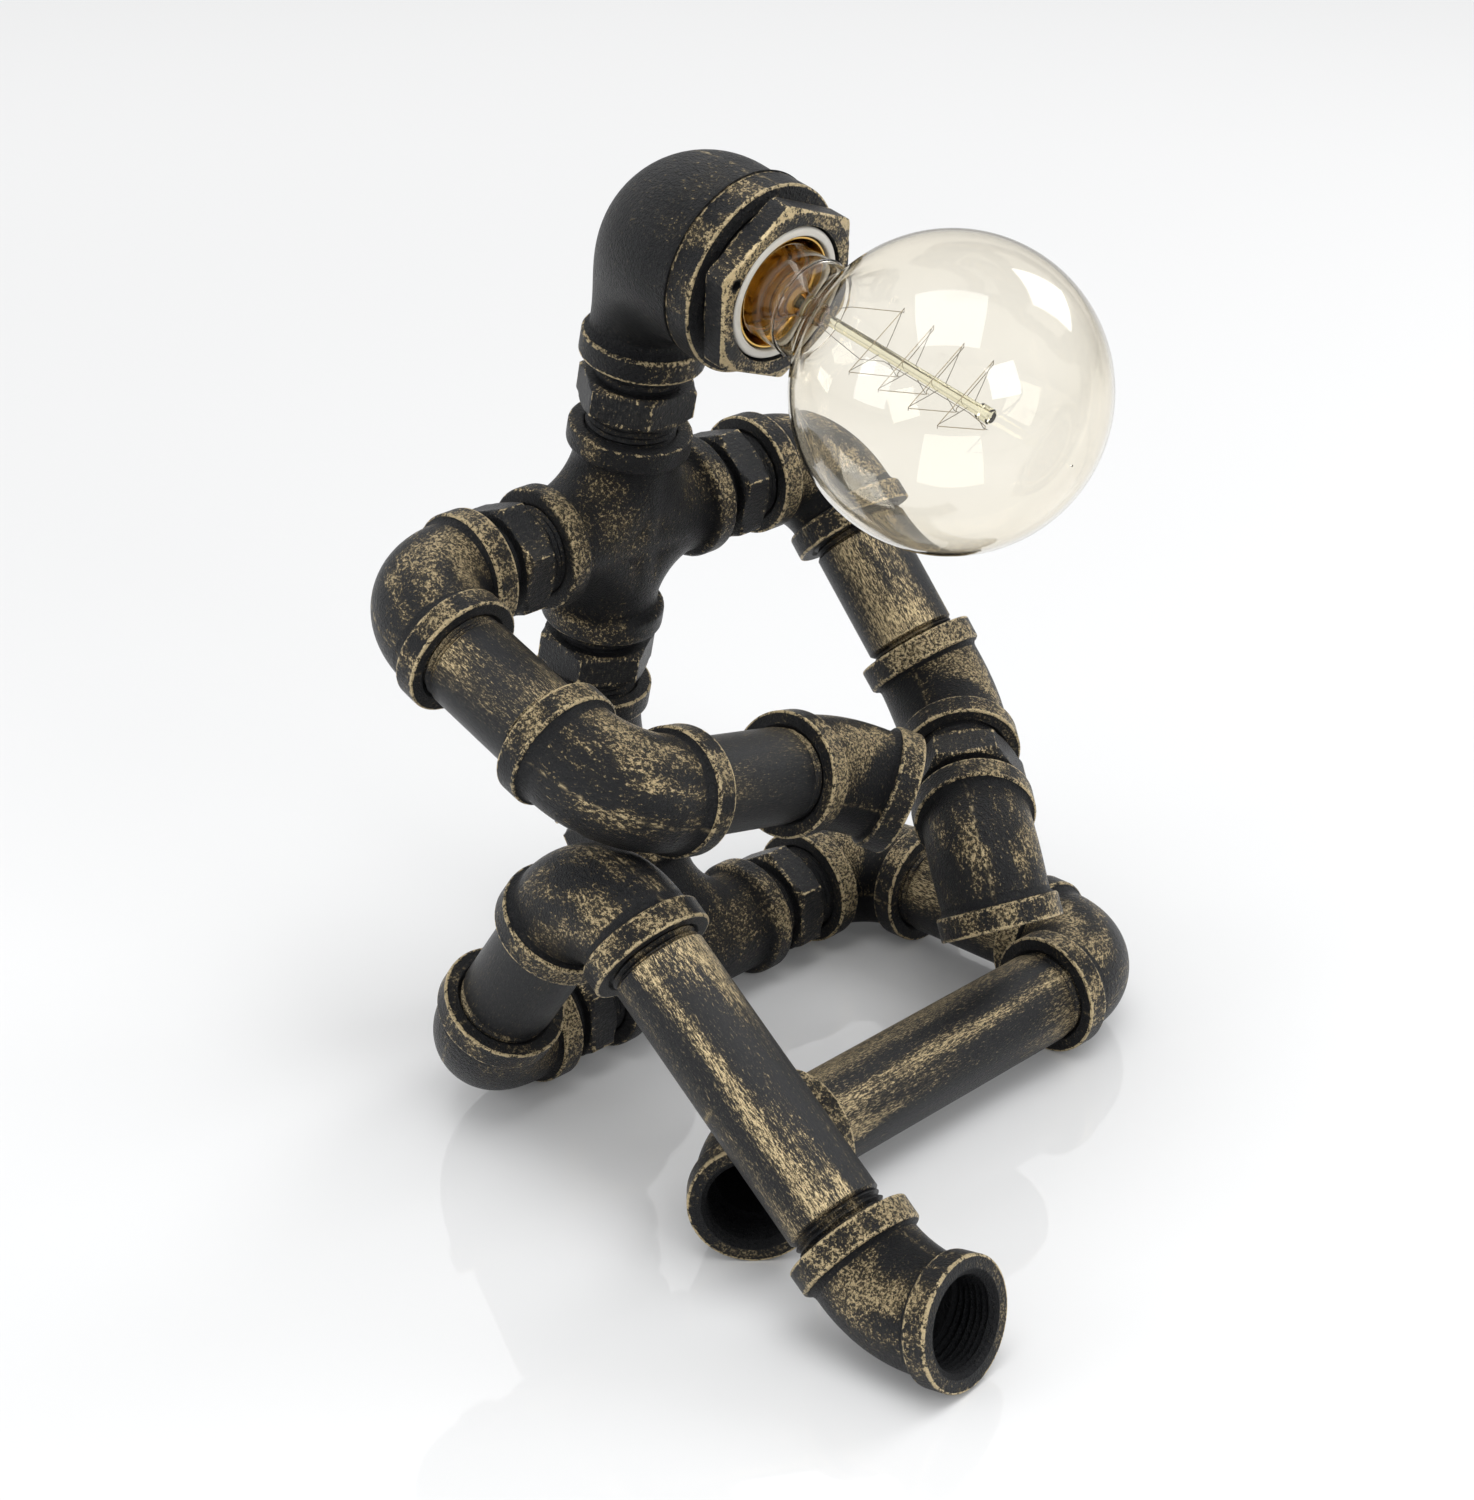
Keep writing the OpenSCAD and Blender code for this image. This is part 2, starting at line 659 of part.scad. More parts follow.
module right_foot_elbow() {
    color(gilt) multmatrix(right_foot) elbow(elbow_45, 45);
}

module left_hip_nipple() {
    color(iron) multmatrix(left_hip) nipple(left_hip_gap);
}

module left_hip_elbow() {
    color(gilt) multmatrix(left_thigh_base) elbow(elbow_90, 90);
}

module left_thigh_pipe() {
    color(iron) multmatrix(left_thigh_top) pipe(left_thigh);
}

module left_knee_elbow() {
    color(gilt) multmatrix(left_knee) elbow(elbow_90, 90);
}

module left_shin_pipe() {
    color(iron) multmatrix(left_shin_top) pipe(left_shin);
}

module left_foot_elbow() {
    color(gilt) multmatrix(left_foot) elbow(elbow_45, 45);
}

pelvis_tee();
waist_nipple();
lower_back_elbow();
spine_nipple();
chest_cross();
neck_nipple();
head_elbow();
head_bushing();
porcelain_body();
retaining_ring();
screw_shell();
centre_contact();
terminal_screws();
head_flex();
body_flex();
cord_grommet();
bulb_glass();
bulb_cap();
bulb_insulator();
bulb_contact();
bulb_stem();
bulb_supports();
bulb_filament();
right_shoulder_nipple();
right_shoulder_elbow();
right_upper_arm_pipe();
right_elbow();
right_forearm_pipe();
right_hand_elbow();
left_shoulder_nipple();
left_shoulder_elbow();
left_upper_arm_pipe();
left_elbow();
left_wrist_nipple();
left_hand_elbow();
right_hip_nipple();
right_hip_elbow();
right_thigh_pipe();
right_knee_elbow();
right_shin_pipe();
right_foot_elbow();
left_hip_nipple();
left_hip_elbow();
left_thigh_pipe();
left_knee_elbow();
left_shin_pipe();
left_foot_elbow();
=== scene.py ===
import json
import math
import bpy
import numpy as np
from mathutils import Matrix, Vector


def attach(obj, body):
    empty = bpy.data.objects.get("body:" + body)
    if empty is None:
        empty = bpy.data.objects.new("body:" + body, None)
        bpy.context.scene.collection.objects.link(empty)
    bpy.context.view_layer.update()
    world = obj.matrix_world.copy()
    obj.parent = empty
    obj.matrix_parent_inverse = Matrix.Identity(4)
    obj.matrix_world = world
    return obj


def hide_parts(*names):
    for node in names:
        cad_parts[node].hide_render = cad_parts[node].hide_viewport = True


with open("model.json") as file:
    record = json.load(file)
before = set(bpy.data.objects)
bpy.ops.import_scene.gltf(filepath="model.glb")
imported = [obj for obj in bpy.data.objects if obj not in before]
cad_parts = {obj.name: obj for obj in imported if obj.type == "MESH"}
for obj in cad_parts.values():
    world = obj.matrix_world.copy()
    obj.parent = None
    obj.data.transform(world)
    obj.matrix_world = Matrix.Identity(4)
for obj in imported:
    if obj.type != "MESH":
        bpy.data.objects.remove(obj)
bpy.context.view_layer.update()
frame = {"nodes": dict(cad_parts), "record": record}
mm = 0.001
bodyOf = {n: b for b, nodes in frame["record"]["behaviour"]["bodies"].items() for n in nodes}
print("frame loaded:", len(frame["nodes"]), "nodes")

# where the ports are: a port's z axis runs on along the chain, x is the way it bends; lengths in mm
fitting = {
    "band": 17.6, "bandWide": 7.0, "body": 15.6, "bore": 13.0, "way": 10.5,
    "elbow90": 27.5, "elbow45": 21.5, "crossEnd": 31.5, "teeEnd": 33.0,
    "gap": 20.5, "waistGap": 15.0, "neckGap": 21.5, "leftShoulderGap": 20.0, "rightHipGap": 20.8,
    "leftHipGap": 21.9, "threadIn": 11.5, "portDeep": 12.0,
}
pose = {
    "pelvis": (2.188, 68.726), "waistLean": 32.7, "chestTurn": -1.2,
    "rightArmSwing": 82.2, "rightElbowTurn": -15.8, "rightHandTurn": 178,
    "leftArmSwing": -54.3, "leftElbowTurn": -32, "leftHandTurn": 159.4,
    "rightUpperArm": 35.2, "rightForearm": 42.7, "leftUpperArm": 38.2,
    "rightThigh": 36.8, "rightShin": 87.8, "leftThigh": 40.6, "leftShin": 100.4,
    "shinSplay": 2.6, "rightFootTurn": 170.6, "rightFootZ": 14.9,
}
head = {"neckEnd": 41.0, "faceEnd": 38.2, "band": 26.9, "bandWide": 8.7, "body": 25.8, "thread": 20.5,
        "dome": 26.15, "domeLong": 48.0, "throat": 4.0, "throatX": 19.6, "throatZ": 10.5, "ease": 9,
        "sides": 128, "steps": 40, "innerSteps": 14}


def along(d):
    # also the path of every straight piece
    return Matrix.Translation((0, 0, d * mm))


def turned(degrees):
    return Matrix.Rotation(math.radians(degrees), 4, "Z")


def bent(degrees):
    return Matrix.Rotation(math.radians(degrees), 4, "Y")


def aimed(z, x):
    z, x = Vector(z).normalized(), Vector(x).normalized()
    return Matrix((x, z.cross(x), z)).transposed().to_4x4()


def through(end, turn, bend):
    return along(end) @ turned(turn) @ bent(bend) @ along(end)


def portFrames():
    f, p = fitting, pose
    e90, e45, gap = f["elbow90"], f["elbow45"], f["gap"]
    out = {}
    pelvis = Matrix.Translation((p["pelvis"][0] * mm, p["pelvis"][1] * mm, f["band"] * mm))
    lean = math.radians(p["waistLean"])
    out["pelvis"] = pelvis
    out["waist"] = pelvis @ aimed((0, math.sin(lean), math.cos(lean)),
                                  (0, -math.cos(lean), math.sin(lean))) @ along(f["teeEnd"])
    out["lowerBack"] = out["waist"] @ along(f["waistGap"])
    out["spine"] = out["lowerBack"] @ through(e45, 0, 45)
    out["chest"] = chest = out["spine"] @ along(gap + f["crossEnd"]) @ turned(p["chestTurn"])
    out["neck"] = chest @ along(f["crossEnd"])
    out["head"] = out["neck"] @ along(f["neckGap"])
    out["face"] = out["head"] @ along(head["neckEnd"]) @ bent(90)

    out["rightShoulder"] = chest @ aimed((0, -1, 0), (0, 0, -1)) @ along(f["crossEnd"])
    out["rightArm"] = out["rightShoulder"] @ along(gap) @ turned(p["rightArmSwing"])
    out["rightUpper"] = out["rightArm"] @ through(e90, 0, 90)
    out["rightBend"] = out["rightUpper"] @ along(p["rightUpperArm"]) @ turned(p["rightElbowTurn"])
    out["rightFore"] = out["rightBend"] @ through(e90, 0, 90)
    out["rightHand"] = out["rightFore"] @ along(p["rightForearm"]) @ turned(p["rightHandTurn"])

    out["leftShoulder"] = chest @ aimed((0, 1, 0), (0, 0, -1)) @ along(f["crossEnd"])
    out["leftArm"] = out["leftShoulder"] @ along(f["leftShoulderGap"]) @ turned(p["leftArmSwing"])
    out["leftUpper"] = out["leftArm"] @ through(e90, 0, 90)
    out["leftBend"] = out["leftUpper"] @ along(p["leftUpperArm"]) @ turned(p["leftElbowTurn"])
    out["leftWrist"] = out["leftBend"] @ through(e45, 0, 45)
    out["leftHand"] = out["leftWrist"] @ along(gap) @ turned(p["leftHandTurn"])

    thigh = 2 * e90 + p["rightThigh"]
    shin = (e90 + p["rightShin"] + e45) * math.cos(math.radians(p["shinSplay"]))
    drop = (p["rightFootZ"] - f["band"]) / math.hypot(thigh, shin)
    legLean = math.degrees(math.atan2(thigh, shin) - math.asin(drop))
    out["rightHip"] = pelvis @ aimed((-1, 0, 0), (0, 0, 1)) @ along(f["teeEnd"])
    out["rightThighBase"] = out["rightHip"] @ along(f["rightHipGap"]) @ turned(-legLean)
    out["rightThigh"] = out["rightThighBase"] @ through(e90, 0, 90)
    out["rightKnee"] = out["rightThigh"] @ along(p["rightThigh"]) @ turned(-90 - p["shinSplay"])
    out["rightShin"] = out["rightKnee"] @ through(e90, 0, 90)
    out["rightFoot"] = out["rightShin"] @ along(p["rightShin"]) @ turned(p["rightFootTurn"])

    out["leftHip"] = pelvis @ aimed((1, 0, 0), (0, 0, 1)) @ along(f["teeEnd"])
    out["leftThighBase"] = out["leftHip"] @ along(f["leftHipGap"]) @ turned(90)
    out["leftThigh"] = out["leftThighBase"] @ through(e90, 0, 90)
    out["leftKnee"] = out["leftThigh"] @ along(p["leftThigh"])
    out["leftShin"] = out["leftKnee"] @ through(e90, 0, 90)
    out["leftFoot"] = out["leftShin"] @ along(p["leftShin"]) @ turned(180)
    return out


port = portFrames()
print("port frames:", len(port))


class Wire:
    # a shader socket that can stand in a sum
    def __init__(self, shade, socket):
        self.shade, self.socket = shade, socket

    def maths(self, operation, *values):
        inputs = dict(enumerate(values))
        return self.shade.node("Math", {"operation": operation}, inputs)

    def __add__(self, other):
        return self.maths("ADD", self, other)

    def __sub__(self, other):
        return self.maths("SUBTRACT", self, other)

    def __rsub__(self, other):
        return self.maths("SUBTRACT", other, self)

    def __mul__(self, other):
        return self.maths("MULTIPLY", self, other)

    def __pow__(self, other):
        return self.maths("POWER", self, other)

    def __or__(self, other):
        return self.maths("MAXIMUM", self, other)

    def __rpow__(self, other):
        return self.maths("POWER", other, self)

    __radd__ = __add__
    __rmul__ = __mul__
    __ror__ = __or__


class Shade:
    # the nodes of one material, or of the world
    def __init__(self, owner):
        owner.use_nodes = True
        self.owner, self.tree = owner, owner.node_tree
        self.tree.nodes.clear()

    def node(self, kind, settings=None, inputs=None, out=0):
        made = self.tree.nodes.new("ShaderNode" + kind)
        for key, value in (settings or {}).items():
            setattr(made, key, value)
        for key, value in (inputs or {}).items():
            if isinstance(value, Wire):
                self.tree.links.new(value.socket, made.inputs[key])
            else:
                made.inputs[key].default_value = value
        return Wire(self, made.outputs[out])

    def attribute(self, name, out="Fac"):
        return self.node("Attribute", {"attribute_name": name}, out=out)

    def noise(self, where, scale, detail=2, rough=0.5, distortion=0):
        return self.node("TexNoise", inputs={"Vector": where, "Scale": scale, "Detail": detail,
                                             "Roughness": rough, "Distortion": distortion})

    def scaled(self, where, x, y, z):
        return self.node("VectorMath", {"operation": "MULTIPLY"}, {0: where, 1: (x, y, z)})

    def step(self, value, low, high, to=(0, 1)):
        return self.node("MapRange", {"interpolation_type": "SMOOTHSTEP"},
                         {"Value": value, "From Min": low, "From Max": high,
                          "To Min": to[0], "To Max": to[1]})

    def blend(self, factor, first, second):
        return self.node("Mix", {"data_type": "RGBA"}, {0: factor, 6: first, 7: second}, out=2)

    def finish(self, surface, kind="OutputMaterial"):
        target = self.tree.nodes.new("ShaderNode" + kind)
        self.tree.links.new(surface.socket, target.inputs["Surface"])
        return self.owner


def material(name):
    return Shade(bpy.data.materials.new(name))


# the worn gold over black that every iron piece has
ironCoat = {
    # the lighter grey beside black is a painted sheen for the raised specks of the peel
    "black": (0.004, 0.0046, 0.006, 1), "paintedSheenGrey": (0.03, 0.0295, 0.028, 1),
    "bronze": (0.11, 0.085, 0.047, 1), "gold": (0.6, 0.48, 0.285, 1), "rimGold": (0.68, 0.55, 0.33, 1),
    "blackRough": 0.32, "goldRough": 0.34, "goldMetal": 0.85, "shine": 0.3,
    "reach": 0.32, "hold": 0.25,   # how the brushed gold grows from bare specks to a pitted cover
}


def ironMaterial(name, grain, streak, peel, cover, stretch=0.6):
    # grain: size of the specks, streak: how far they draw out along z, peel: height of the casting's
    # orange peel in mm, cover: how much gold lies on it, stretch: under 1 draws the patches out
    s = material(name)
    coat = ironCoat
    spot = s.attribute("spot", "Vector")
    rim, gilt, soot = s.attribute("rim"), s.attribute("gilt"), s.attribute("soot")
    seam = s.attribute("seam")
    drawn = s.scaled(spot, 1, 1, 1 / streak)
    speck = s.noise(drawn, 1 / grain, 3, 0.6, 0.3) - 0.5
    fine = s.noise(s.scaled(spot, 1, 1, streak ** -0.5), 2.4 / grain, 2, 0.6) - 0.5
    patch = s.noise(s.scaled(spot, 1, 1, stretch), 0.085, 3, 0.55)
    wear = s.noise(spot, 0.45, 3, 0.6)
    height = speck + fine * 0.6
    thick = gilt * s.step(patch, 0.32, 0.68, (0.35, 1.5)) * cover
    over = height + s.step(thick, 0, 1, (0, coat["reach"])) - coat["hold"]
    specks = s.step(over, -0.05, 0.07)
    haze = s.step(thick * (0.4 + patch), 0.25, 0.9, (0, 0.2))
    line = s.step(rim * 0.78 + (wear - 0.5) * 1.3 + height, 0.46, 0.74)
    ridge = seam * s.step(wear, 0.45, 0.6)
    # the shade mark is painted shade in the bores, threads, creases and port faces: it takes the gold and the
    # painted sheen away there and roughens the black
    unshaded = 1 - soot
    gold = (specks | line | ridge * 0.8) * unshaded
    bright = s.step(over + line * 0.1, -0.02, 0.2)
    metal = s.blend((line | ridge) * 0.8, s.blend(bright, coat["bronze"], coat["gold"]), coat["rimGold"])
    # a painted sheen: lighter grey on the raised specks of the peel, varying in patches, kept off the painted
    # shade
    paintedSheenMask = s.step(height + (patch - 0.5) * 0.4, -0.05, 0.3) * unshaded
    blackWithSheen = s.blend(paintedSheenMask, coat["black"], coat["paintedSheenGrey"])
    tinted = s.blend(haze * unshaded, blackWithSheen, coat["bronze"])
    colour = s.blend(gold, tinted, metal)
    rough = gold * (coat["goldRough"] - coat["blackRough"]) + coat["blackRough"] + soot * 0.25 \
        + (patch - 0.5) * 0.15
    bump = s.node("Bump", inputs={"Strength": 1.0, "Distance": mm, "Height": height * peel + ridge * 0.1
                                  + gold * 0.02})
    return s.finish(s.node("BsdfPrincipled", inputs={
        "Base Color": colour, "Roughness": rough, "Metallic": gold * coat["goldMetal"],
        "Specular IOR Level": coat["shine"], "Normal": bump}))


finishes = {
    "elbow": ironMaterial("elbowIron", 0.85, 1, 1.2, 1.25),
    "flank": ironMaterial("headIron", 1.0, 1, 1.8, 1.0),
    "pipe": ironMaterial("pipeIron", 0.37, 4.5, 0.2, 1.3, 0.12),
    "nipple": ironMaterial("nippleIron", 0.8, 2, 0.6, 1.1),
}


def plainMaterial(name, colour, rough, metal=0.0, bumpScale=0, bumpHeight=0.0, second=None):
    s = material(name)
    where = s.node("TexCoord", out=3)
    cloud = s.noise(where, 180, 3)
    tone = s.blend(cloud, colour, second or tuple(0.85 * c for c in colour[:3]) + (1,))
    inputs = {"Base Color": tone, "Roughness": cloud * 0.1 + (rough - 0.05), "Metallic": metal}
    if bumpScale:
        inputs["Normal"] = s.node("Bump", inputs={
            "Strength": 0.4, "Distance": mm, "Height": s.noise(where, bumpScale, 3) * bumpHeight})
    return s.finish(s.node("BsdfPrincipled", inputs=inputs))


def glassMaterial(name, tint, edge):
    # clear glass that takes a little colour where it is seen edge on
    s = material(name)
    facing = s.node("LayerWeight", inputs={"Blend": 0.35}, out="Facing")
    colour = s.blend(facing ** 2, tint, edge)
    return s.finish(s.node("BsdfPrincipled", inputs={
        "Base Color": colour, "Roughness": 0.0, "IOR": 1.45, "Transmission Weight": 1.0}))


finishes["porcelain"] = plainMaterial("glazedPorcelain", (0.86, 0.83, 0.76, 1), 0.2)
finishes["brass"] = plainMaterial("rolledBrass", (0.8, 0.52, 0.16, 1), 0.26, 1.0, 400, 0.05,
                                  (0.6, 0.36, 0.09, 1))
finishes["steel"] = plainMaterial("plainSteel", (0.6, 0.6, 0.6, 1), 0.3, 1.0)
finishes["rubber"] = plainMaterial("blackRubber", (0.02, 0.02, 0.02, 1), 0.6, 0.0, 900, 0.05)
finishes["insulator"] = plainMaterial("blackInsulator", (0.015, 0.015, 0.02, 1), 0.15)
finishes["wire"] = plainMaterial("supportWire", (0.3, 0.28, 0.25, 1), 0.35, 1.0)
finishes["filament"] = plainMaterial("filamentWire", (0.4, 0.34, 0.24, 1), 0.35, 0.6)
finishes["globe"] = glassMaterial("globeGlass", (0.97, 0.945, 0.885, 1), (0.8, 0.71, 0.53, 1))
finishes["stem"] = glassMaterial("stemGlass", (0.95, 0.93, 0.75, 1), (0.88, 0.82, 0.5, 1))
print("finishes:", len(finishes))


class Outline:
    # points of a closed section: how far along, how far out, how worn the place is and how much painted shade
    # lies on it
    def __init__(self):
        self.points = []

    def add(self, s, r, rim=0.0, gilt=0.0, soot=0.0, thread=0.0, hexagon=0.0, seam=0.0):
        self.points.append((s, r, rim, gilt, soot, thread, hexagon, seam))

    def run(self, start, end, steps, **marks):
        # steps points from start to end, both (s, r)
        for i in range(steps):
            t = i / (steps - 1)
            self.add(start[0] + (end[0] - start[0]) * t, start[1] + (end[1] - start[1]) * t, **marks)

    def corner(self, centre, radius, fromTurn, toTurn, steps, **marks):
        for i in range(steps):
            a = math.radians(fromTurn + (toTurn - fromTurn) * i / (steps - 1))
            self.add(centre[0] + radius * math.cos(a), centre[1] + radius * math.sin(a), **marks)

    def mirrored(self, length):
        # the same points seen from the far end, in reverse
        return [(length - p[0], *p[1:]) for p in reversed(self.points)]


def bendPath(end, bend, edge):
    # port to port: straight through the band, round, and straight again
    radius = (end - edge) / math.tan(math.radians(bend / 2))
    arc = radius * math.radians(bend)

    def at(s):
        if s <= edge:
            return along(s)
        if s >= edge + arc:
            return through(end, 0, bend) @ along(s - 2 * edge - arc)
        a = (s - edge) / radius
        return Matrix.Translation((radius * (1 - math.cos(a)) * mm, 0, (edge + radius * math.sin(a)) * mm)) \
            @ Matrix.Rotation(a, 4, "Y")
    return at, 2 * edge + arc


threadPitch = 1.814   # of the iron fittings, in mm
roundSides = 96


def sweep(name, outline, path, base, finish, node, sides=roundSides, closed=True,
          pitch=threadPitch):
    # turns the outline round the path; thread is the depth of a screw thread, hexagon the flats' half width
    points = outline.points if isinstance(outline, Outline) else outline
    turn = np.linspace(0, 2 * math.pi, sides, endpoint=False)
    around = np.degrees(turn)
    flatShare = np.cos(np.radians((around + 30) % 60 - 30))
    rows, spots, rims, gilts, soots, seams = [], [], [], [], [], []
    for s, r, rim, gilt, soot, thread, hexagon, seam in points:
        radius = np.full(sides, r)
        if hexagon:
            radius = np.minimum(radius, hexagon / flatShare)
        if thread:
            phase = (s / pitch - turn / (2 * math.pi)) % 1
            radius = radius - thread * np.abs(2 * phase - 1)
        local = np.stack([radius * np.cos(turn), radius * np.sin(turn), np.zeros(sides)], 1)
        m = np.array(base @ path(s))
        rows.append(local * mm @ m[:3, :3].T + m[:3, 3])
        spots.append(np.stack([local[:, 0], local[:, 1], np.full(sides, s)], 1))
        for keep, value in ((rims, rim), (gilts, gilt), (soots, soot), (seams, seam)):
            keep.append(np.broadcast_to(value, sides) if np.ndim(value) else np.full(sides, value))
    count = len(rows)
    across = np.arange(sides)
    following = (across + 1) % sides
    faces = []
    for i in range(count if closed else count - 1):
        j = (i + 1) % count
        faces.append(np.stack([i * sides + across, i * sides + following,
                               j * sides + following, j * sides + across], 1))
    mesh = bpy.data.meshes.new(name)
    mesh.from_pydata(np.concatenate(rows).tolist(), [], np.concatenate(faces).tolist())
    paint(mesh, np.concatenate(spots), np.concatenate(rims), np.concatenate(gilts),
          np.concatenate(soots), np.concatenate(seams), finish)
    return dress(name, mesh, finish, node)


goldLightSides = ((-0.45, -0.7, 0.8), (0.5, 0.75, 0.55))   # the sides that face the light, towards which the gold is laid thicker: painted light in part, dry-brush wear in part
goldLightShare = {   # least share of the gold, and where it starts and ends
    "pipe": (0.4, 0.0, 0.75), "nipple": (0.5, 0.1, 0.8), "other": (0.5, 0.0, 0.75),
}


def paint(mesh, spots, rims, gilts, soots, seams, finish="elbow"):
    normals = np.zeros(len(mesh.vertices) * 3, np.float32)
    mesh.update()
    mesh.vertex_normals.foreach_get("vector", normals)
    sides = np.array([Vector(side).normalized() for side in goldLightSides])
    # more gold on the sides that face the light: partly painted light, partly dry-brush wear
    facing = (normals.reshape(-1, 3) @ sides.T).max(axis=1)
    least, start, end = goldLightShare.get(finish, goldLightShare["other"])
    gilts = gilts * (least + (1.15 - least) * np.clip((facing - start) / (end - start), 0, 1))
    spot = mesh.attributes.new("spot", "FLOAT_VECTOR", "POINT")
    spot.data.foreach_set("vector", spots.astype(np.float32).ravel())
    for label, values in (("rim", rims), ("gilt", gilts), ("soot", soots), ("seam", seams)):
        mesh.attributes.new(label, "FLOAT", "POINT").data.foreach_set("value", values.astype(np.float32))


def dress(name, mesh, finish, node, crease=32):
    mesh.update()
    mesh.validate()
    mesh.shade_smooth()
    mesh.set_sharp_from_angle(angle=math.radians(crease))
    piece = bpy.data.objects.new(name, mesh)
    bpy.context.scene.collection.objects.link(piece)
    mesh.materials.append(finishes[finish])
    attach(piece, bodyOf[node])
    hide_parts(node)
    return piece


# the bands are the raised rings round the ports
bandForm = {"lip": 0.55, "shoulder": 0.9, "fillet": 1.6, "thread": 0.9, "bandGilt": 0.5, "facePaintedShade": 0.5}


def bandOutline(outline, radius, wide, bodyR, boreR, bodyGilt):
    # from the bottom of the port's thread out over the band and down to the body
    b, deep = bandForm, fitting["portDeep"]
    # painted shade lies in the port's thread and mouth, on its face and in the crease of the fillet
    outline.run((deep, boreR - b["thread"]), (deep - 0.4, boreR), 2, soot=1.0)
    outline.run((deep - 0.4, boreR), (1.2, boreR), 52, soot=0.8, thread=b["thread"])
    outline.run((1.0, boreR), (0, boreR + 0.9), 3, soot=0.7)
    outline.run((0, boreR + 1.2), (0, radius - b["lip"] - 0.3), 4, soot=b["facePaintedShade"], gilt=0.35)
    outline.corner((b["lip"], radius - b["lip"]), b["lip"], 180, 90, 5, rim=0.95, gilt=0.7)
    outline.add(b["lip"] + 0.25, radius, rim=0.6, gilt=0.7)
    outline.run((b["lip"] + 0.6, radius), (wide - b["shoulder"] - 0.5, radius - 0.05), 7, gilt=b["bandGilt"])
    outline.corner((wide - b["shoulder"], radius - b["shoulder"] - 0.05), b["shoulder"], 90, 10, 5,
                   rim=0.75, gilt=0.6)
    fillet = b["fillet"]
    outline.corner((wide + fillet, bodyR + fillet), fillet, 190, 270, 7, soot=0.5, gilt=bodyGilt * 0.3)


elbowForm = {"gilt": 0.45, "crown": 0.25, "sides": 112, "steps": 26}   # crown: how far the bend swells, in mm


def elbowPiece(name, node, base, end, bend):
    f = fitting
    gilt, crown, sides, steps = (elbowForm[key] for key in ("gilt", "crown", "sides", "steps"))
    path, length = bendPath(end, bend, f["bandWide"])
    outline = Outline()
    bandOutline(outline, f["band"], f["bandWide"], f["body"], f["bore"], gilt)
    first = list(outline.points)
    middle = Outline()
    start = f["bandWide"] + bandForm["fillet"] + 0.5
    for i in range(steps):
        t = i / (steps - 1)
        s = start + (length - 2 * start) * t
        rise = math.sin(math.pi * t)
        middle.add(s, f["body"] + crown * rise, gilt=gilt * (0.8 + 0.3 * rise))
    last = outline.mirrored(length)
    inner = Outline()
    # the way through is dark with painted shade
    inner.run((length - f["portDeep"] - 0.2, f["way"]), (f["portDeep"] + 0.2, f["way"]), 12, soot=1.0)
    points = seamed(first + middle.points + last, sides) + inner.points
    sweep(name, points, path, base, "elbow", node, sides)


seamSharp = 3000   # the greater, the narrower the line


def seamed(points, sides):
    # the parting line of the casting runs over the crown and through the throat
    turn = np.linspace(0, 2 * math.pi, sides, endpoint=False)
    line = np.abs(np.cos(turn)) ** seamSharp
    return [(*p[:7], line if p[4] < 0.6 and p[1] > fitting["bore"] + 2 else 0.0) for p in points]


elbows = {
    "lowerBackElbow": ("lower_back_elbow", "lowerBack", 45),
    "rightShoulderElbow": ("right_shoulder_elbow", "rightArm", 90),
    "rightElbow": ("right_elbow", "rightBend", 90),
    "rightHandElbow": ("right_hand_elbow", "rightHand", 45),
    "leftShoulderElbow": ("left_shoulder_elbow", "leftArm", 90),
    "leftElbow": ("left_elbow", "leftBend", 45),
    "leftHandElbow": ("left_hand_elbow", "leftHand", 45),
    "rightHipElbow": ("right_hip_elbow", "rightThighBase", 90),
    "rightKneeElbow": ("right_knee_elbow", "rightKnee", 90),
    "rightFootElbow": ("right_foot_elbow", "rightFoot", 45),
    "leftHipElbow": ("left_hip_elbow", "leftThighBase", 90),
    "leftKneeElbow": ("left_knee_elbow", "leftKnee", 90),
    "leftFootElbow": ("left_foot_elbow", "leftFoot", 45),
}
for name, (node, at, bend) in elbows.items():
    elbowPiece(name, node, port[at], fitting["elbow%d" % bend], bend)
print("elbows:", len(elbows))


pipeForm = {"radius": 13.35, "bore": 10.5, "thread": 1.0, "bare": 2.6, "bareAtFoot": 5.6, "steps": 30}


def pipeHalf(length, bare, gilt):
    # from the middle of the bore round the end to the middle of the outside; bare: the thread left showing
    p = pipeForm
    deep, top = fitting["threadIn"], fitting["bore"] - 0.05
    outline = Outline()
    # painted shade in the bore and, lighter, on the thread
    outline.run((length / 2, p["bore"]), (-deep, p["bore"]), 2, soot=1.0)
    outline.run((-deep, p["bore"] + 0.3), (-deep + 0.3, top), 3, soot=1.0)
    outline.run((-deep + 0.4, top), (bare - 0.5, top), 84, soot=0.3, gilt=0.45, thread=p["thread"])
    outline.run((bare - 0.3, top - 0.2), (bare + 0.35, p["radius"]), 4, gilt=0.6, rim=0.5)
    for i in range(p["steps"]):
        s = bare + 0.5 + (length / 2 - bare - 0.5) * i / (p["steps"] - 1)
        nearEnd = math.exp(-((s - bare) / 9) ** 2)
        outline.add(s, p["radius"], gilt=gilt * (0.85 + 0.35 * nearEnd))
    return outline


def pipePiece(name, node, base, length, gilt):
    far = pipeForm["bareAtFoot" if name == "rightShinPipe" else "bare"]
    points = pipeHalf(length, pipeForm["bare"], gilt).points + pipeHalf(length, far, gilt).mirrored(length)
    sweep(name, points, along, base, "pipe", node)


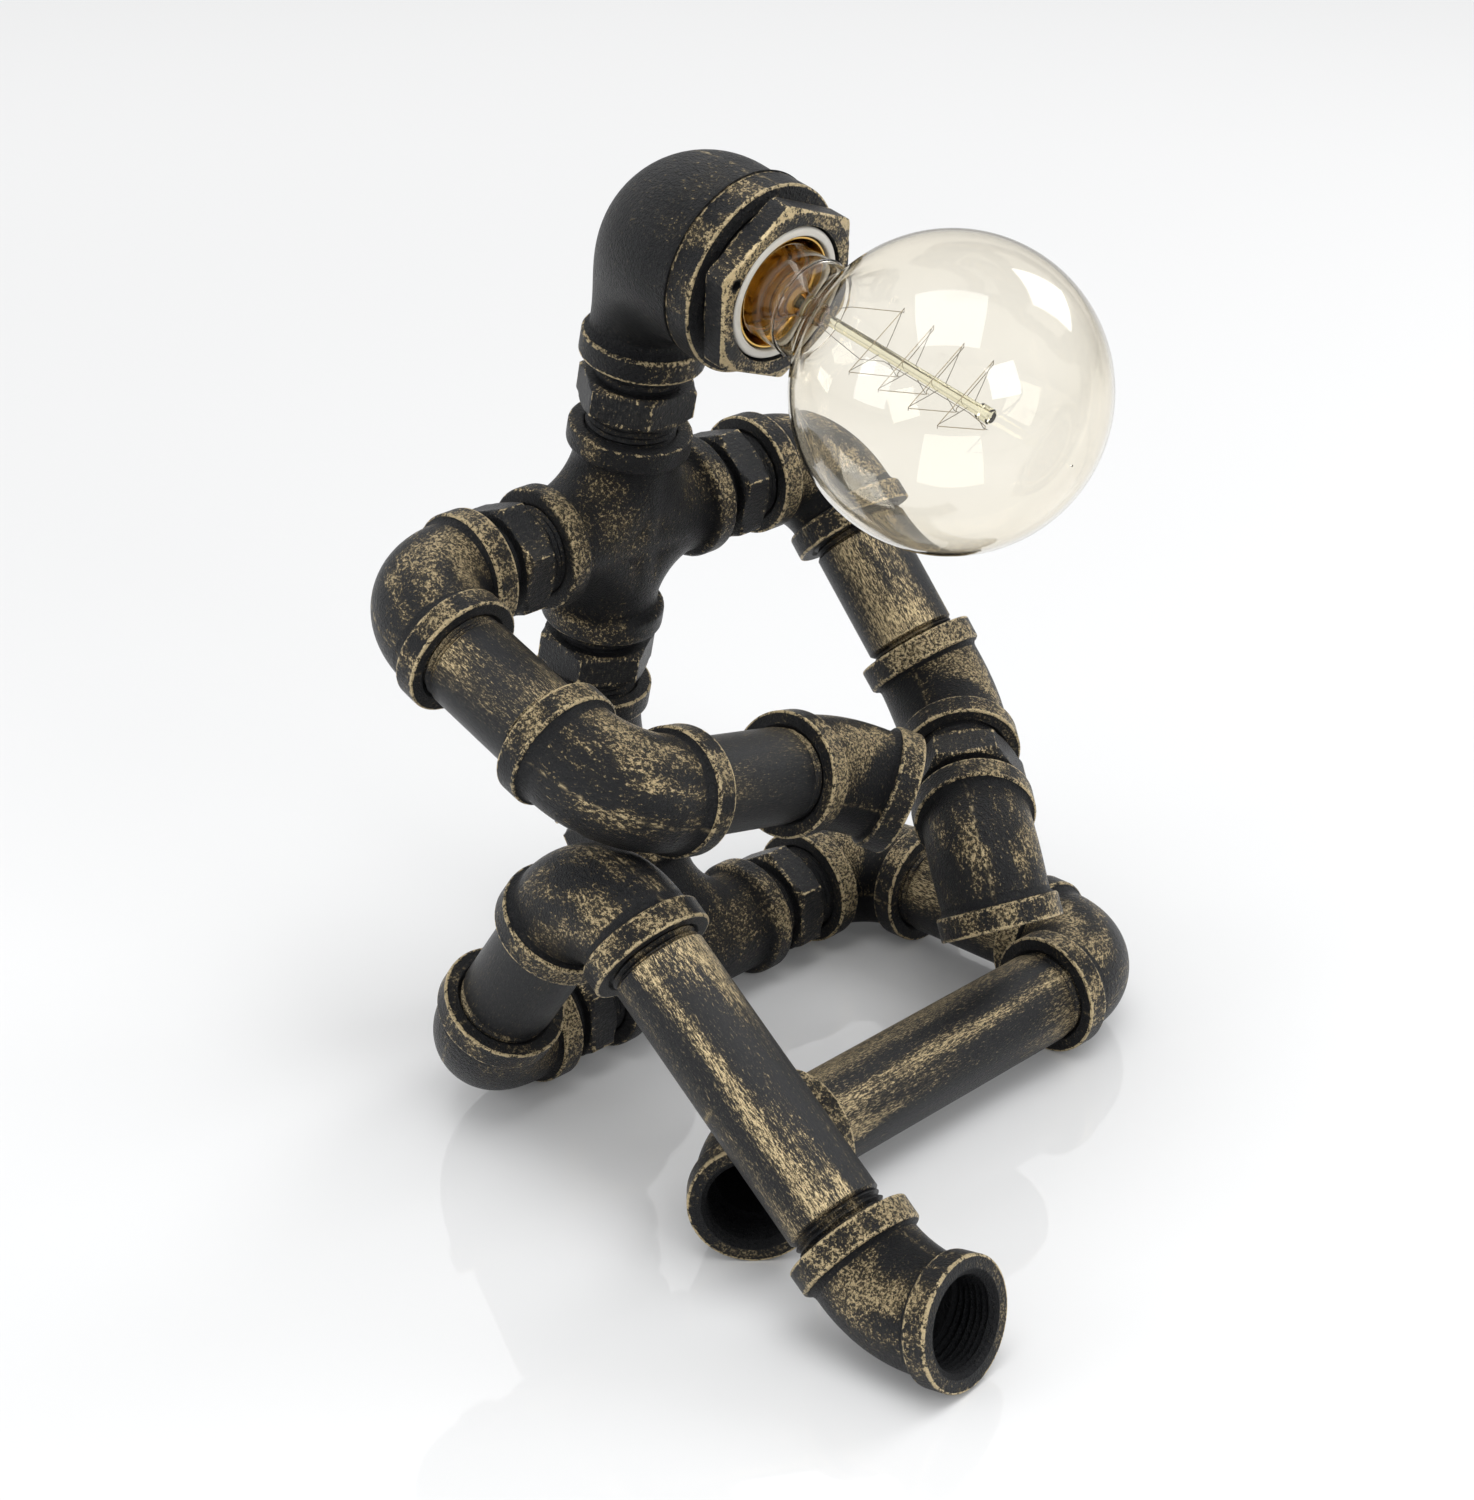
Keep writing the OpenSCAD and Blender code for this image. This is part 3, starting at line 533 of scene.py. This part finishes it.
pipes = {
    "rightUpperArmPipe": ("right_upper_arm_pipe", "rightUpper", "rightUpperArm", 0.3),
    "rightForearmPipe": ("right_forearm_pipe", "rightFore", "rightForearm", 0.24),
    "leftUpperArmPipe": ("left_upper_arm_pipe", "leftUpper", "leftUpperArm", 0.42),
    "rightThighPipe": ("right_thigh_pipe", "rightThigh", "rightThigh", 0.26),
    "rightShinPipe": ("right_shin_pipe", "rightShin", "rightShin", 0.52),
    "leftThighPipe": ("left_thigh_pipe", "leftThigh", "leftThigh", 0.45),
    "leftShinPipe": ("left_shin_pipe", "leftShin", "leftShin", 0.5),
}
for name, (node, at, length, gilt) in pipes.items():
    pipePiece(name, node, port[at], pose[length], gilt)
print("pipes:", len(pipes))


def cornerRim(sides, least=0.0):
    # worn bright where two flats meet
    return np.where(np.abs(np.linspace(0, 360, sides, endpoint=False) % 60 - 30) < 0.1, 0.8, least)


nippleForm = {"flats": 15.0, "corner": 17.1, "wide": 10.0, "chamfer": 0.9, "bore": 9.5, "thread": 0.8}


def nipplePiece(name, node, base, gap):
    n = nippleForm
    base = base @ turned(0 if name == "neckNipple" else 30)   # a corner lies towards x, at the neck a flat
    deep, top = fitting["threadIn"], fitting["bore"] - 0.05
    middle, half = gap / 2, n["wide"] / 2
    outline = Outline()
    # painted shade in the bore, on the thread, in the groove and on the side of the hexagon
    outline.run((middle, n["bore"]), (-deep, n["bore"]), 2, soot=1.0)
    outline.run((-deep, n["bore"] + 0.3), (-deep + 0.4, top), 3, soot=1.0)
    outline.run((-deep + 0.5, top), (middle - half - 1.1, top), 68, soot=0.45, gilt=0.3, thread=n["thread"])
    outline.run((middle - half - 0.8, top - 0.7), (middle - half - 0.1, top - 0.7), 2, soot=0.9)
    outline.run((middle - half, top - 0.6), (middle - half, n["flats"] - 0.4), 3, soot=0.5)
    outline.corner((middle - half + n["chamfer"], n["flats"] - 0.2), n["chamfer"], 180, 120, 3, gilt=0.4,
                   rim=0.45, hexagon=n["flats"])
    outline.add(middle - half + n["chamfer"] + 0.4, n["corner"], gilt=0.3, rim=cornerRim(roundSides, 0.55),
                hexagon=n["flats"])
    outline.run((middle - half + n["chamfer"] + 0.9, n["corner"]), (middle, n["corner"]), 5, gilt=0.22,
                rim=cornerRim(roundSides), hexagon=n["flats"])
    sweep(name, outline.points + outline.mirrored(gap), along, base, "nipple", node)


nipples = {
    "waistNipple": ("waist_nipple", "waist", "waistGap"), "spineNipple": ("spine_nipple", "spine", "gap"),
    "neckNipple": ("neck_nipple", "neck", "neckGap"),
    "rightShoulderNipple": ("right_shoulder_nipple", "rightShoulder", "gap"),
    "leftShoulderNipple": ("left_shoulder_nipple", "leftShoulder", "leftShoulderGap"),
    "leftWristNipple": ("left_wrist_nipple", "leftWrist", "gap"),
    "rightHipNipple": ("right_hip_nipple", "rightHip", "rightHipGap"),
    "leftHipNipple": ("left_hip_nipple", "leftHip", "leftHipGap"),
}
for name, (node, at, gap) in nipples.items():
    nipplePiece(name, node, port[at], fitting[gap])
print("nipples:", len(nipples))


# the cross and the tee are cast in one, so their branches melt into each other
castForm = {"voxel": 0.55, "smooth": 6, "smoothing": 0.5, "gilt": 0.3, "bandGilt": 0.42}


def castPiece(name, node, base, directions, end):
    c, f = castForm, fitting
    work = bpy.data.objects.new("work", frame["nodes"][node].data.copy())
    bpy.context.scene.collection.objects.link(work)
    remesh = work.modifiers.new("skin", "REMESH")
    remesh.mode, remesh.voxel_size = "VOXEL", c["voxel"] * mm
    soften = work.modifiers.new("soften", "SMOOTH")
    soften.factor, soften.iterations = c["smoothing"], c["smooth"]
    bpy.context.view_layer.update()
    mesh = bpy.data.meshes.new_from_object(work.evaluated_get(bpy.context.evaluated_depsgraph_get()))
    bpy.data.objects.remove(work)
    mesh.name = name
    mesh.materials.clear()
    co = np.zeros(len(mesh.vertices) * 3)
    mesh.vertices.foreach_get("co", co)
    inverse = np.array(base.inverted())
    local = (co.reshape(-1, 3) @ inverse[:3, :3].T + inverse[:3, 3]) / mm
    rim, gilt, soot = np.zeros(len(local)), np.full(len(local), c["gilt"]), np.zeros(len(local))
    for direction in directions:
        d = np.array(direction, float)
        reach = local @ d
        out = np.linalg.norm(local - reach[:, None] * d, axis=1)
        onBand = (reach > end - f["bandWide"] - 0.6) & (out > f["body"] + 0.3) & (out < f["band"] + 1.5)
        gilt = np.where(onBand, c["bandGilt"], gilt)
        edge = np.hypot(reach - end, out - f["band"])
        rim = np.maximum(rim, np.exp(-(edge / 0.75) ** 2) * 1.2)
        back = np.hypot(reach - (end - f["bandWide"]), out - f["band"] + 0.3)
        rim = np.maximum(rim, np.exp(-(back / 0.6) ** 2) * 0.85)
        # painted shade in the crease behind each band, in the bores and on the port faces
        crease = np.hypot(reach - (end - f["bandWide"] - 0.5), out - f["body"] - 0.3)
        soot = np.maximum(soot, np.exp(-(crease / 1.0) ** 2) * 0.6)
        soot = np.where((out < f["bore"] + 0.4) & (reach > 0), 1.0, soot)
        face = (reach > end - 0.35) & (out < f["band"] - 0.9)
        soot = np.where(face, np.maximum(soot, 0.7), soot)
    paint(mesh, local, np.minimum(rim, 1), gilt, soot, np.zeros(len(local)))
    dress(name, mesh, "elbow", node, crease=60)


lean = math.radians(pose["waistLean"])
castPiece("chestCross", "chest_cross", port["chest"],
          ((0, 0, 1), (0, 0, -1), (0, 1, 0), (0, -1, 0)), fitting["crossEnd"])
castPiece("pelvisTee", "pelvis_tee", port["pelvis"],
          ((1, 0, 0), (-1, 0, 0), (0, math.sin(lean), math.cos(lean))), fitting["teeEnd"])
print("cross and tee")


def domeRadius(t):
    # t runs 0 to 1 from the neck to the face
    return fitting["body"] + (head["dome"] - fitting["body"]) * math.sin(math.radians(90 * t)) ** 2


def headPath(s):
    # straight on below 0, round the throat up to domeLong, and straight on past it, where ease is the
    # length over which the line finds the level of the face
    t, past = min(max(s / head["domeLong"], 0), 1), max(s - head["domeLong"], 0)
    a, out = math.radians(90 * t), domeRadius(t) + head["throat"]
    level = min(past / head["ease"], 1) * (head["neckEnd"] - head["throatZ"] - out) if past else 0
    x, z = head["throatX"] - out * math.cos(a), head["throatZ"] + out * math.sin(a) + level
    return Matrix.Translation((x * mm, 0, z * mm)) @ Matrix.Rotation(a, 4, "Y") @ along(s if s < 0 else past)


def headPiece():
    h, f = head, fitting
    neckSide, faceSide = Outline(), Outline()
    bandOutline(neckSide, f["band"], f["bandWide"], f["body"], f["bore"], 0.3)
    bandOutline(faceSide, h["band"], h["bandWide"], h["body"], h["thread"], 0.4)
    domeLong = h["domeLong"]
    faceEnd = domeLong + h["faceEnd"] - h["throatX"]
    small = [(p[0] - h["throatZ"], *p[1:]) for p in neckSide.points]
    large = [(faceEnd - p[0], *p[1:]) for p in reversed(faceSide.points)]
    dome = Outline()
    dome.run((small[-1][0] + 0.6, f["body"]), (-0.2, f["body"]), 4, gilt=0.15)
    for i in range(h["steps"]):
        t = i / (h["steps"] - 1)
        dome.add(domeLong * t, domeRadius(t), gilt=0.12 + 0.15 * max(0, t - 0.35))
    dome.run((domeLong + 0.8, h["dome"] - 0.05), (large[0][0] - 0.6, h["body"]), 8, gilt=0.25)
    inner = Outline()
    # the inside is dark with painted shade
    for i in range(h["innerSteps"]):
        t = 0.9 - 0.83 * i / (h["innerSteps"] - 1)
        inner.add(domeLong * t, f["way"] + 9 * max(0, t - 0.3), soot=1.0)
    points = seamed(small + dome.points + large, h["sides"]) + inner.points
    sweep("headElbow", points, headPath, port["head"], "flank", "head_elbow", h["sides"])


headPiece()
print("head")

bushing = {"back": 25.2, "hexBack": 40.0, "hexFront": 47.6, "flats": 23.0, "corner": 26.2, "bore": 17.2,
           "recess": 19.2, "lipBack": 44.3, "turn": 10, "holeOut": 21.4, "holeR": 1.4, "sides": 120}


def drill(piece, at, radius, length):
    # a plain round hole
    sides = 24
    turn = np.linspace(0, 2 * math.pi, sides, endpoint=False)
    ring = [(radius * math.cos(a) * mm, radius * math.sin(a) * mm) for a in turn]
    verts = [at @ Vector((x, y, z)) for z in (0, length * mm) for x, y in ring]
    faces = [[sides - 1 - i for i in range(sides)], [sides + i for i in range(sides)]]
    faces += [(i, (i + 1) % sides, sides + (i + 1) % sides, sides + i) for i in range(sides)]
    mesh = bpy.data.meshes.new("drill")
    mesh.from_pydata(verts, [], faces)
    cutter = bpy.data.objects.new("drill", mesh)
    bpy.context.scene.collection.objects.link(cutter)
    cut = piece.modifiers.new("hole", "BOOLEAN")
    cut.operation, cut.object = "DIFFERENCE", cutter
    bpy.context.view_layer.update()
    whole = piece.data
    piece.data = bpy.data.meshes.new_from_object(piece.evaluated_get(bpy.context.evaluated_depsgraph_get()))
    piece.data.name = piece.name
    piece.modifiers.clear()
    bpy.data.objects.remove(cutter)
    bpy.data.meshes.remove(whole)
    bpy.data.meshes.remove(mesh)


def bushingPiece():
    b = bushing
    outline = Outline()
    # painted shade in the bore, on the thread, at the step behind the hexagon and in the recess
    outline.run((b["lipBack"], b["bore"]), (b["back"], b["bore"]), 2, soot=1.0)
    outline.run((b["back"], b["bore"] + 0.3), (b["back"], head["thread"] - 0.4), 2, soot=1.0)
    outline.run((b["back"] + 0.5, head["thread"]), (b["hexBack"] - 0.7, head["thread"]), 60,
                soot=0.9, thread=0.8)
    outline.run((b["hexBack"] - 0.1, head["thread"] - 0.5), (b["hexBack"], b["flats"] - 0.8), 3, soot=0.8)
    outline.add(b["hexBack"] + 0.1, b["flats"] - 0.2, rim=0.5, gilt=0.5, hexagon=b["flats"])
    outline.add(b["hexBack"] + 0.8, b["corner"], rim=0.7, gilt=0.5, hexagon=b["flats"])
    outline.run((b["hexBack"] + 1.3, b["corner"]), (b["hexFront"] - 1.2, b["corner"]), 7, gilt=0.3,
                rim=cornerRim(b["sides"]), hexagon=b["flats"])
    outline.add(b["hexFront"] - 0.7, b["corner"], rim=0.9, gilt=0.6, hexagon=b["flats"])
    outline.add(b["hexFront"] - 0.15, b["flats"] + 0.5, rim=1.0, gilt=0.7, hexagon=b["flats"] - 0.35)
    outline.add(b["hexFront"], b["flats"] + 0.2, rim=0.6, gilt=0.7, hexagon=b["flats"] - 0.8)
    outline.run((b["hexFront"], b["flats"] - 1.4), (b["hexFront"], b["recess"] + 0.7), 5, gilt=0.95)
    outline.add(b["hexFront"] - 0.1, b["recess"] + 0.15, rim=0.8, gilt=0.7)
    outline.run((b["hexFront"] - 0.5, b["recess"]), (b["lipBack"], b["recess"]), 3, soot=0.9)
    piece = sweep("headBushing", outline, along, port["face"] @ turned(b["turn"] + 30), "nipple",
                  "head_bushing", b["sides"])
    drill(piece, port["face"] @ turned(b["turn"] - 120) @ Matrix.Translation((b["holeOut"] * mm, 0, 0))
          @ along(b["hexFront"] - 6), b["holeR"], 8)


bushingPiece()

socket = {"lip": 18.7, "lipBack": 44.3, "front": 47.3, "body": 17.0, "back": 14.0, "floor": 18.0,
          "inner": 16.2}


def porcelainPiece():
    p = socket
    outline = Outline()
    outline.run((p["floor"], 1.6), (p["back"], 1.6), 2)
    outline.run((p["back"], 1.8), (p["back"], 11.2), 3)
    outline.run((p["back"] + 0.3, 11.6), (p["back"] + 6, p["body"]), 3)
    outline.run((p["back"] + 6.4, p["body"]), (p["lipBack"] - 0.1, p["body"]), 3)
    outline.run((p["lipBack"], p["body"] + 0.3), (p["lipBack"], p["lip"] - 0.4), 2)
    outline.corner((p["front"] - 1.1, p["lip"] - 1.1), 1.1, 90, 0, 7)
    outline.corner((p["front"] - 0.5, p["inner"] + 0.5), 0.5, 0, -90, 5)
    outline.run((p["front"] - 1, p["inner"]), (p["floor"] + 0.2, p["inner"] - 0.7), 4)
    sweep("porcelainBody", outline, along, port["face"], "porcelain", "porcelain_body")


porcelainPiece()


shells = {
    "screwShell": {"node": "screw_shell", "radius": 15.4, "depth": 0.85, "back": socket["floor"],
                   "front": socket["front"] - 1, "thickness": 0.45, "flare": 0.3},
    "bulbCap": {"node": "bulb_cap", "radius": 13.1, "depth": 0.8, "back": 25.0, "front": 45.0,
                "thickness": 0.35, "flare": -0.1},
}
shellPitch = 3.63


def screwShell(name, node, radius, depth, back, front, thickness, flare):
    # rolled thread: the same wave inside and out
    outline = Outline()
    outline.run((back, radius - 4), (back, radius - depth), 3)
    outline.run((back + 0.5, radius), (front - 2.2, radius), 90, thread=depth)
    outline.run((front - 1.8, radius - depth * 0.4), (front, radius + flare), 4)
    outline.run((front, radius + flare - thickness), (front - 1.8, radius - depth * 0.4 - thickness), 4)
    outline.run((front - 2.2, radius - thickness), (back + 0.9, radius - thickness), 90, thread=depth)
    outline.run((back + thickness, radius - depth - thickness), (back + thickness, radius - 4), 3)
    sweep(name, outline, along, port["face"], "brass", node, pitch=shellPitch)


for name, shell in shells.items():
    screwShell(name, **shell)

bulb = {"globe": 41.0, "out": 106.5, "neck": 13.5, "flare": 16.0, "base": 43.5, "thick": 0.8, "sides": 128}


def globePiece():
    b = bulb
    outline = Outline()
    flareBack = math.sqrt((b["globe"] + b["flare"]) ** 2 - (b["neck"] + b["flare"]) ** 2)
    meet = math.degrees(math.atan2(flareBack, b["neck"] + b["flare"]))
    outline.run((b["base"], b["neck"] - 2), (b["base"] + 0.2, b["neck"] - 0.3), 2)
    outline.run((b["base"] + 0.8, b["neck"]), (b["out"] - flareBack - 2.6, b["neck"]), 4)
    outline.corner((b["out"] - flareBack - 1.6, b["neck"]), 0.45, 170, 10, 6)   # the rolled ring at the neck
    outline.corner((b["out"] - flareBack, b["neck"] + b["flare"]), b["flare"], 270, 270 + meet, 16)
    outline.corner((b["out"], 0), b["globe"], 90 + meet, 0.4, 90)
    inside = Outline()
    inside.corner((b["out"], 0), b["globe"] - b["thick"], 0.4, 90 + meet, 90)
    inside.corner((b["out"] - flareBack, b["neck"] + b["flare"]), b["flare"] + b["thick"],
                  270 + meet, 270, 16)
    inside.run((b["out"] - flareBack - 2.0, b["neck"] - b["thick"]),
               (b["base"] + 0.8, b["neck"] - b["thick"]), 4)
    inside.run((b["base"] + 0.6, b["neck"] - 1.2), (b["base"] + 0.4, b["neck"] - 2), 2)
    sweep("bulbGlass", outline.points + inside.points, along, port["face"], "globe", "bulb_glass", b["sides"])


globePiece()

stem = {"flareBack": 46.0, "pinch": 60.0, "tip": 120.5, "tube": 3.2, "rod": 1.5, "button": 2.1,
        "buttonLong": 4.2, "sides": 48}


def stemPiece():
    m = stem
    outline = Outline()
    outline.run((m["flareBack"], 9), (m["flareBack"] + 8, m["tube"]), 8)
    outline.run((m["flareBack"] + 9, m["tube"]), (m["pinch"] - 1.5, m["tube"]), 4)
    outline.corner((m["pinch"] - 1.5, m["rod"] + 0.4), 1.5, 90, 0, 5)
    outline.run((m["pinch"] + 0.5, m["rod"]), (m["tip"] - m["buttonLong"], m["rod"]), 10)
    outline.run((m["tip"] - m["buttonLong"] + 0.3, m["button"]), (m["tip"] - 0.4, m["button"]), 4)
    outline.run((m["tip"], m["button"] - 0.4), (m["tip"], 0.05), 5)
    sweep("bulbStem", outline, along, port["face"], "stem", "bulb_stem", m["sides"],
          closed=False)


stemPiece()


def wires(name, lines, radius, finish, node):
    # thin round wires along lines of points, joined into one piece
    verts, faces, sides = [], [], 8
    for line in lines:
        line = [Vector(p) for p in line]
        for i, point in enumerate(line):
            ahead = (line[min(i + 1, len(line) - 1)] - line[max(i - 1, 0)]).normalized()
            side = (ahead.orthogonal() if i == 0 else side - ahead * side.dot(ahead)).normalized()
            up = ahead.cross(side)
            for k in range(sides):
                a = 2 * math.pi * k / sides
                verts.append((point + (side * math.cos(a) + up * math.sin(a)) * radius) * mm)
        start = len(verts) - sides * len(line)
        for i in range(len(line) - 1):
            for k in range(sides):
                j = (k + 1) % sides
                faces.append((start + i * sides + k, start + i * sides + j,
                              start + (i + 1) * sides + j, start + (i + 1) * sides + k))
        faces.append([start + k for k in reversed(range(sides))])
        faces.append([start + (len(line) - 1) * sides + k for k in range(sides)])
    mesh = bpy.data.meshes.new(name)
    mesh.from_pydata([port["face"] @ v for v in verts], [], faces)
    dress(name, mesh, finish, node, crease=80)


cage = {
    "radius": 12.5, "levels": (83.0, 93.4, 103.9, 114.0), "turns": (161, 281, 401), "fall": 0.5, "hook": 0.9,
    "wire": 0.11, "filament": 0.12,
    "leadTurns": (170, 330), "joint": (170, 68.5, 6.3), "crossing": (320, 78.0, 4.6),   # turn, out, radius
}


def cagePoint(degrees, out, radius):
    a = math.radians(degrees)
    return (radius * math.cos(a), radius * math.sin(a), out)


def cagePieces():
    # the filament is wound round the rod in triangles, one level after the other
    c, m = cage, stem
    last, rod = c["levels"][-1], m["rod"]
    near, far = c["leadTurns"]
    joint, crossing = cagePoint(*c["joint"]), cagePoint(*c["crossing"])
    end = cagePoint(far, last + 0.3, rod + 0.4)
    filament, supports = [joint], []
    for level in c["levels"]:
        for i, turn in enumerate(c["turns"]):
            out = level - c["fall"] * i
            for step in (-1, 0, 1):
                filament.append(cagePoint(turn + 3 * step, out + 0.25, c["radius"] - c["hook"] * abs(step)))
            supports.append([cagePoint(turn, out, rod - 0.2), cagePoint(turn, out + 0.1, 6),
                             cagePoint(turn, out, c["radius"] - 0.5),
                             cagePoint(turn + 2, out + 0.6, c["radius"] + 0.3)])
    filament.append(end)
    leads = [[cagePoint(turn, m["pinch"] - 3, 1.8), cagePoint(turn, m["pinch"] + 2, 2.8), top]
             for turn, top in ((near, joint), (far, crossing))]
    leads.append([crossing, cagePoint(far, 84.0, rod + 0.4), end])
    wires("bulbFilament", [filament], c["filament"], "filament", "bulb_filament")
    wires("bulbSupports", supports + leads, c["wire"], "wire", "bulb_supports")


cagePieces()
print("lampholder and bulb")

# small hidden pieces keep their own solids and get a finish
kept = {
    "retaining_ring": "steel", "centre_contact": "brass", "terminal_screws": "steel", "head_flex": "rubber",
    "body_flex": "rubber", "cord_grommet": "rubber", "bulb_insulator": "insulator", "bulb_contact": "steel",
}
for node, finish in kept.items():
    for place in frame["nodes"][node].material_slots:
        place.material = finishes[finish]
print("kept solids:", len(kept))

studio = {
    "shown": 0.87, "mirrored": 1.0, "mirroredLow": 0.12, "light": 0.74,
    "floor": (0.79, 0.795, 0.8, 1), "floorRough": 0.03, "floorHalf": 9,
    "glow": 0.2, "near": 0.25, "far": 1.3, "least": 0.16,   # the glow grows from near to far, in metres
}


def floorPiece():
    s = material("paleFloor")
    plain = s.node("BsdfPrincipled", inputs={"Base Color": studio["floor"],
                                             "Roughness": studio["floorRough"]})
    glow = s.node("Emission", inputs={"Color": (1, 1, 1, 1), "Strength": studio["glow"]})
    both = s.node("AddShader", inputs={0: plain, 1: glow})
    path = s.node("LightPath", out="Is Camera Ray")
    clear = s.node("LightPath", out="Is Transmission Ray")
    away = s.node("VectorMath", {"operation": "LENGTH"}, {0: s.node("TexCoord", out="Object")}, out="Value")
    seen = (path | clear) * s.step(away, studio["near"], studio["far"], (studio["least"], 1))
    finish = s.finish(s.node("MixShader", inputs={0: seen, 1: plain, 2: both}))
    half = studio["floorHalf"]
    verts = [Vector((x * half, y * half, 0)) for x, y in ((-1, -1), (1, -1), (1, 1), (-1, 1))]
    mesh = bpy.data.meshes.new("studioFloor")
    mesh.from_pydata(verts, [], [(0, 1, 2, 3)])
    mesh.materials.append(finish)
    floor = bpy.data.objects.new("studioFloor", mesh)
    bpy.context.scene.collection.objects.link(floor)


floorPiece()

lamps = {
    "skyPanel": {"at": (-0.25, -0.2, 1.2), "aim": (0, 0, 0.1), "size": 0.8, "power": 5.5},
    "frontPanel": {"at": (-0.2, -1.2, 0.75), "aim": (0, 0, 0.12), "size": 0.5, "power": 3},
    "sidePanel": {"at": (0.9, -0.2, 0.8), "aim": (0, 0, 0.12), "size": 0.5, "power": 3},
    "leftPanel": {"at": (-1.0, 0.3, 0.5), "aim": (0, 0, 0.12), "size": 0.5, "power": 2},
}
for name, lamp in lamps.items():
    light = bpy.data.lights.new(name, "AREA")
    light.shape, light.size, light.energy = "SQUARE", lamp["size"], lamp["power"]
    shown = bpy.data.objects.new(name, light)
    bpy.context.scene.collection.objects.link(shown)
    shown.location = lamp["at"]
    shown.rotation_euler = (Vector(lamp["at"]) - Vector(lamp["aim"])).to_track_quat("Z", "Y").to_euler()


def worldLight():
    world = bpy.data.worlds.new("studioWorld")
    bpy.context.scene.world = world
    s = Shade(world)
    path = s.node("LightPath", out="Is Camera Ray") | s.node("LightPath", out="Is Transmission Ray")
    gloss = s.node("LightPath", out="Is Glossy Ray")
    rise = s.node("SeparateXYZ", inputs={"Vector": s.node("TexCoord", out="Generated")}, out="Z")
    mirrored = s.step(rise, -0.2, 0.55, (studio["mirroredLow"], studio["mirrored"]))
    level = path * (studio["shown"] - studio["light"]) + studio["light"] \
        + gloss * (1 - path) * (mirrored - studio["light"])
    s.finish(s.node("Background", inputs={"Color": (1, 1, 1, 1), "Strength": level}), "OutputWorld")


worldLight()

view = {
    "azimuth": -46.162, "elevation": 25.566, "aim": (28.864, 68.726, 73.98), "away": 996.3,
    "sensor": 36, "focal": 3396.4 / 1500, "clip": (0.02, 20),   # focal in heights of the picture
}


def cameraPiece():
    data = bpy.data.cameras.new("camera")
    data.sensor_fit = "VERTICAL"
    data.sensor_height = view["sensor"]
    data.lens = view["sensor"] * view["focal"]
    data.clip_start, data.clip_end = view["clip"]
    camera = bpy.data.objects.new("camera", data)
    bpy.context.scene.collection.objects.link(camera)
    a, e = math.radians(view["azimuth"]), math.radians(view["elevation"])
    direction = Vector((math.sin(a) * math.cos(e), -math.cos(a) * math.cos(e), math.sin(e)))
    camera.location = (Vector(view["aim"]) + direction * view["away"]) * mm
    camera.rotation_euler = direction.to_track_quat("Z", "Y").to_euler()
    bpy.context.scene.camera = camera


cameraPiece()
bpy.context.scene.view_settings.view_transform = "Standard"
print("stage set")
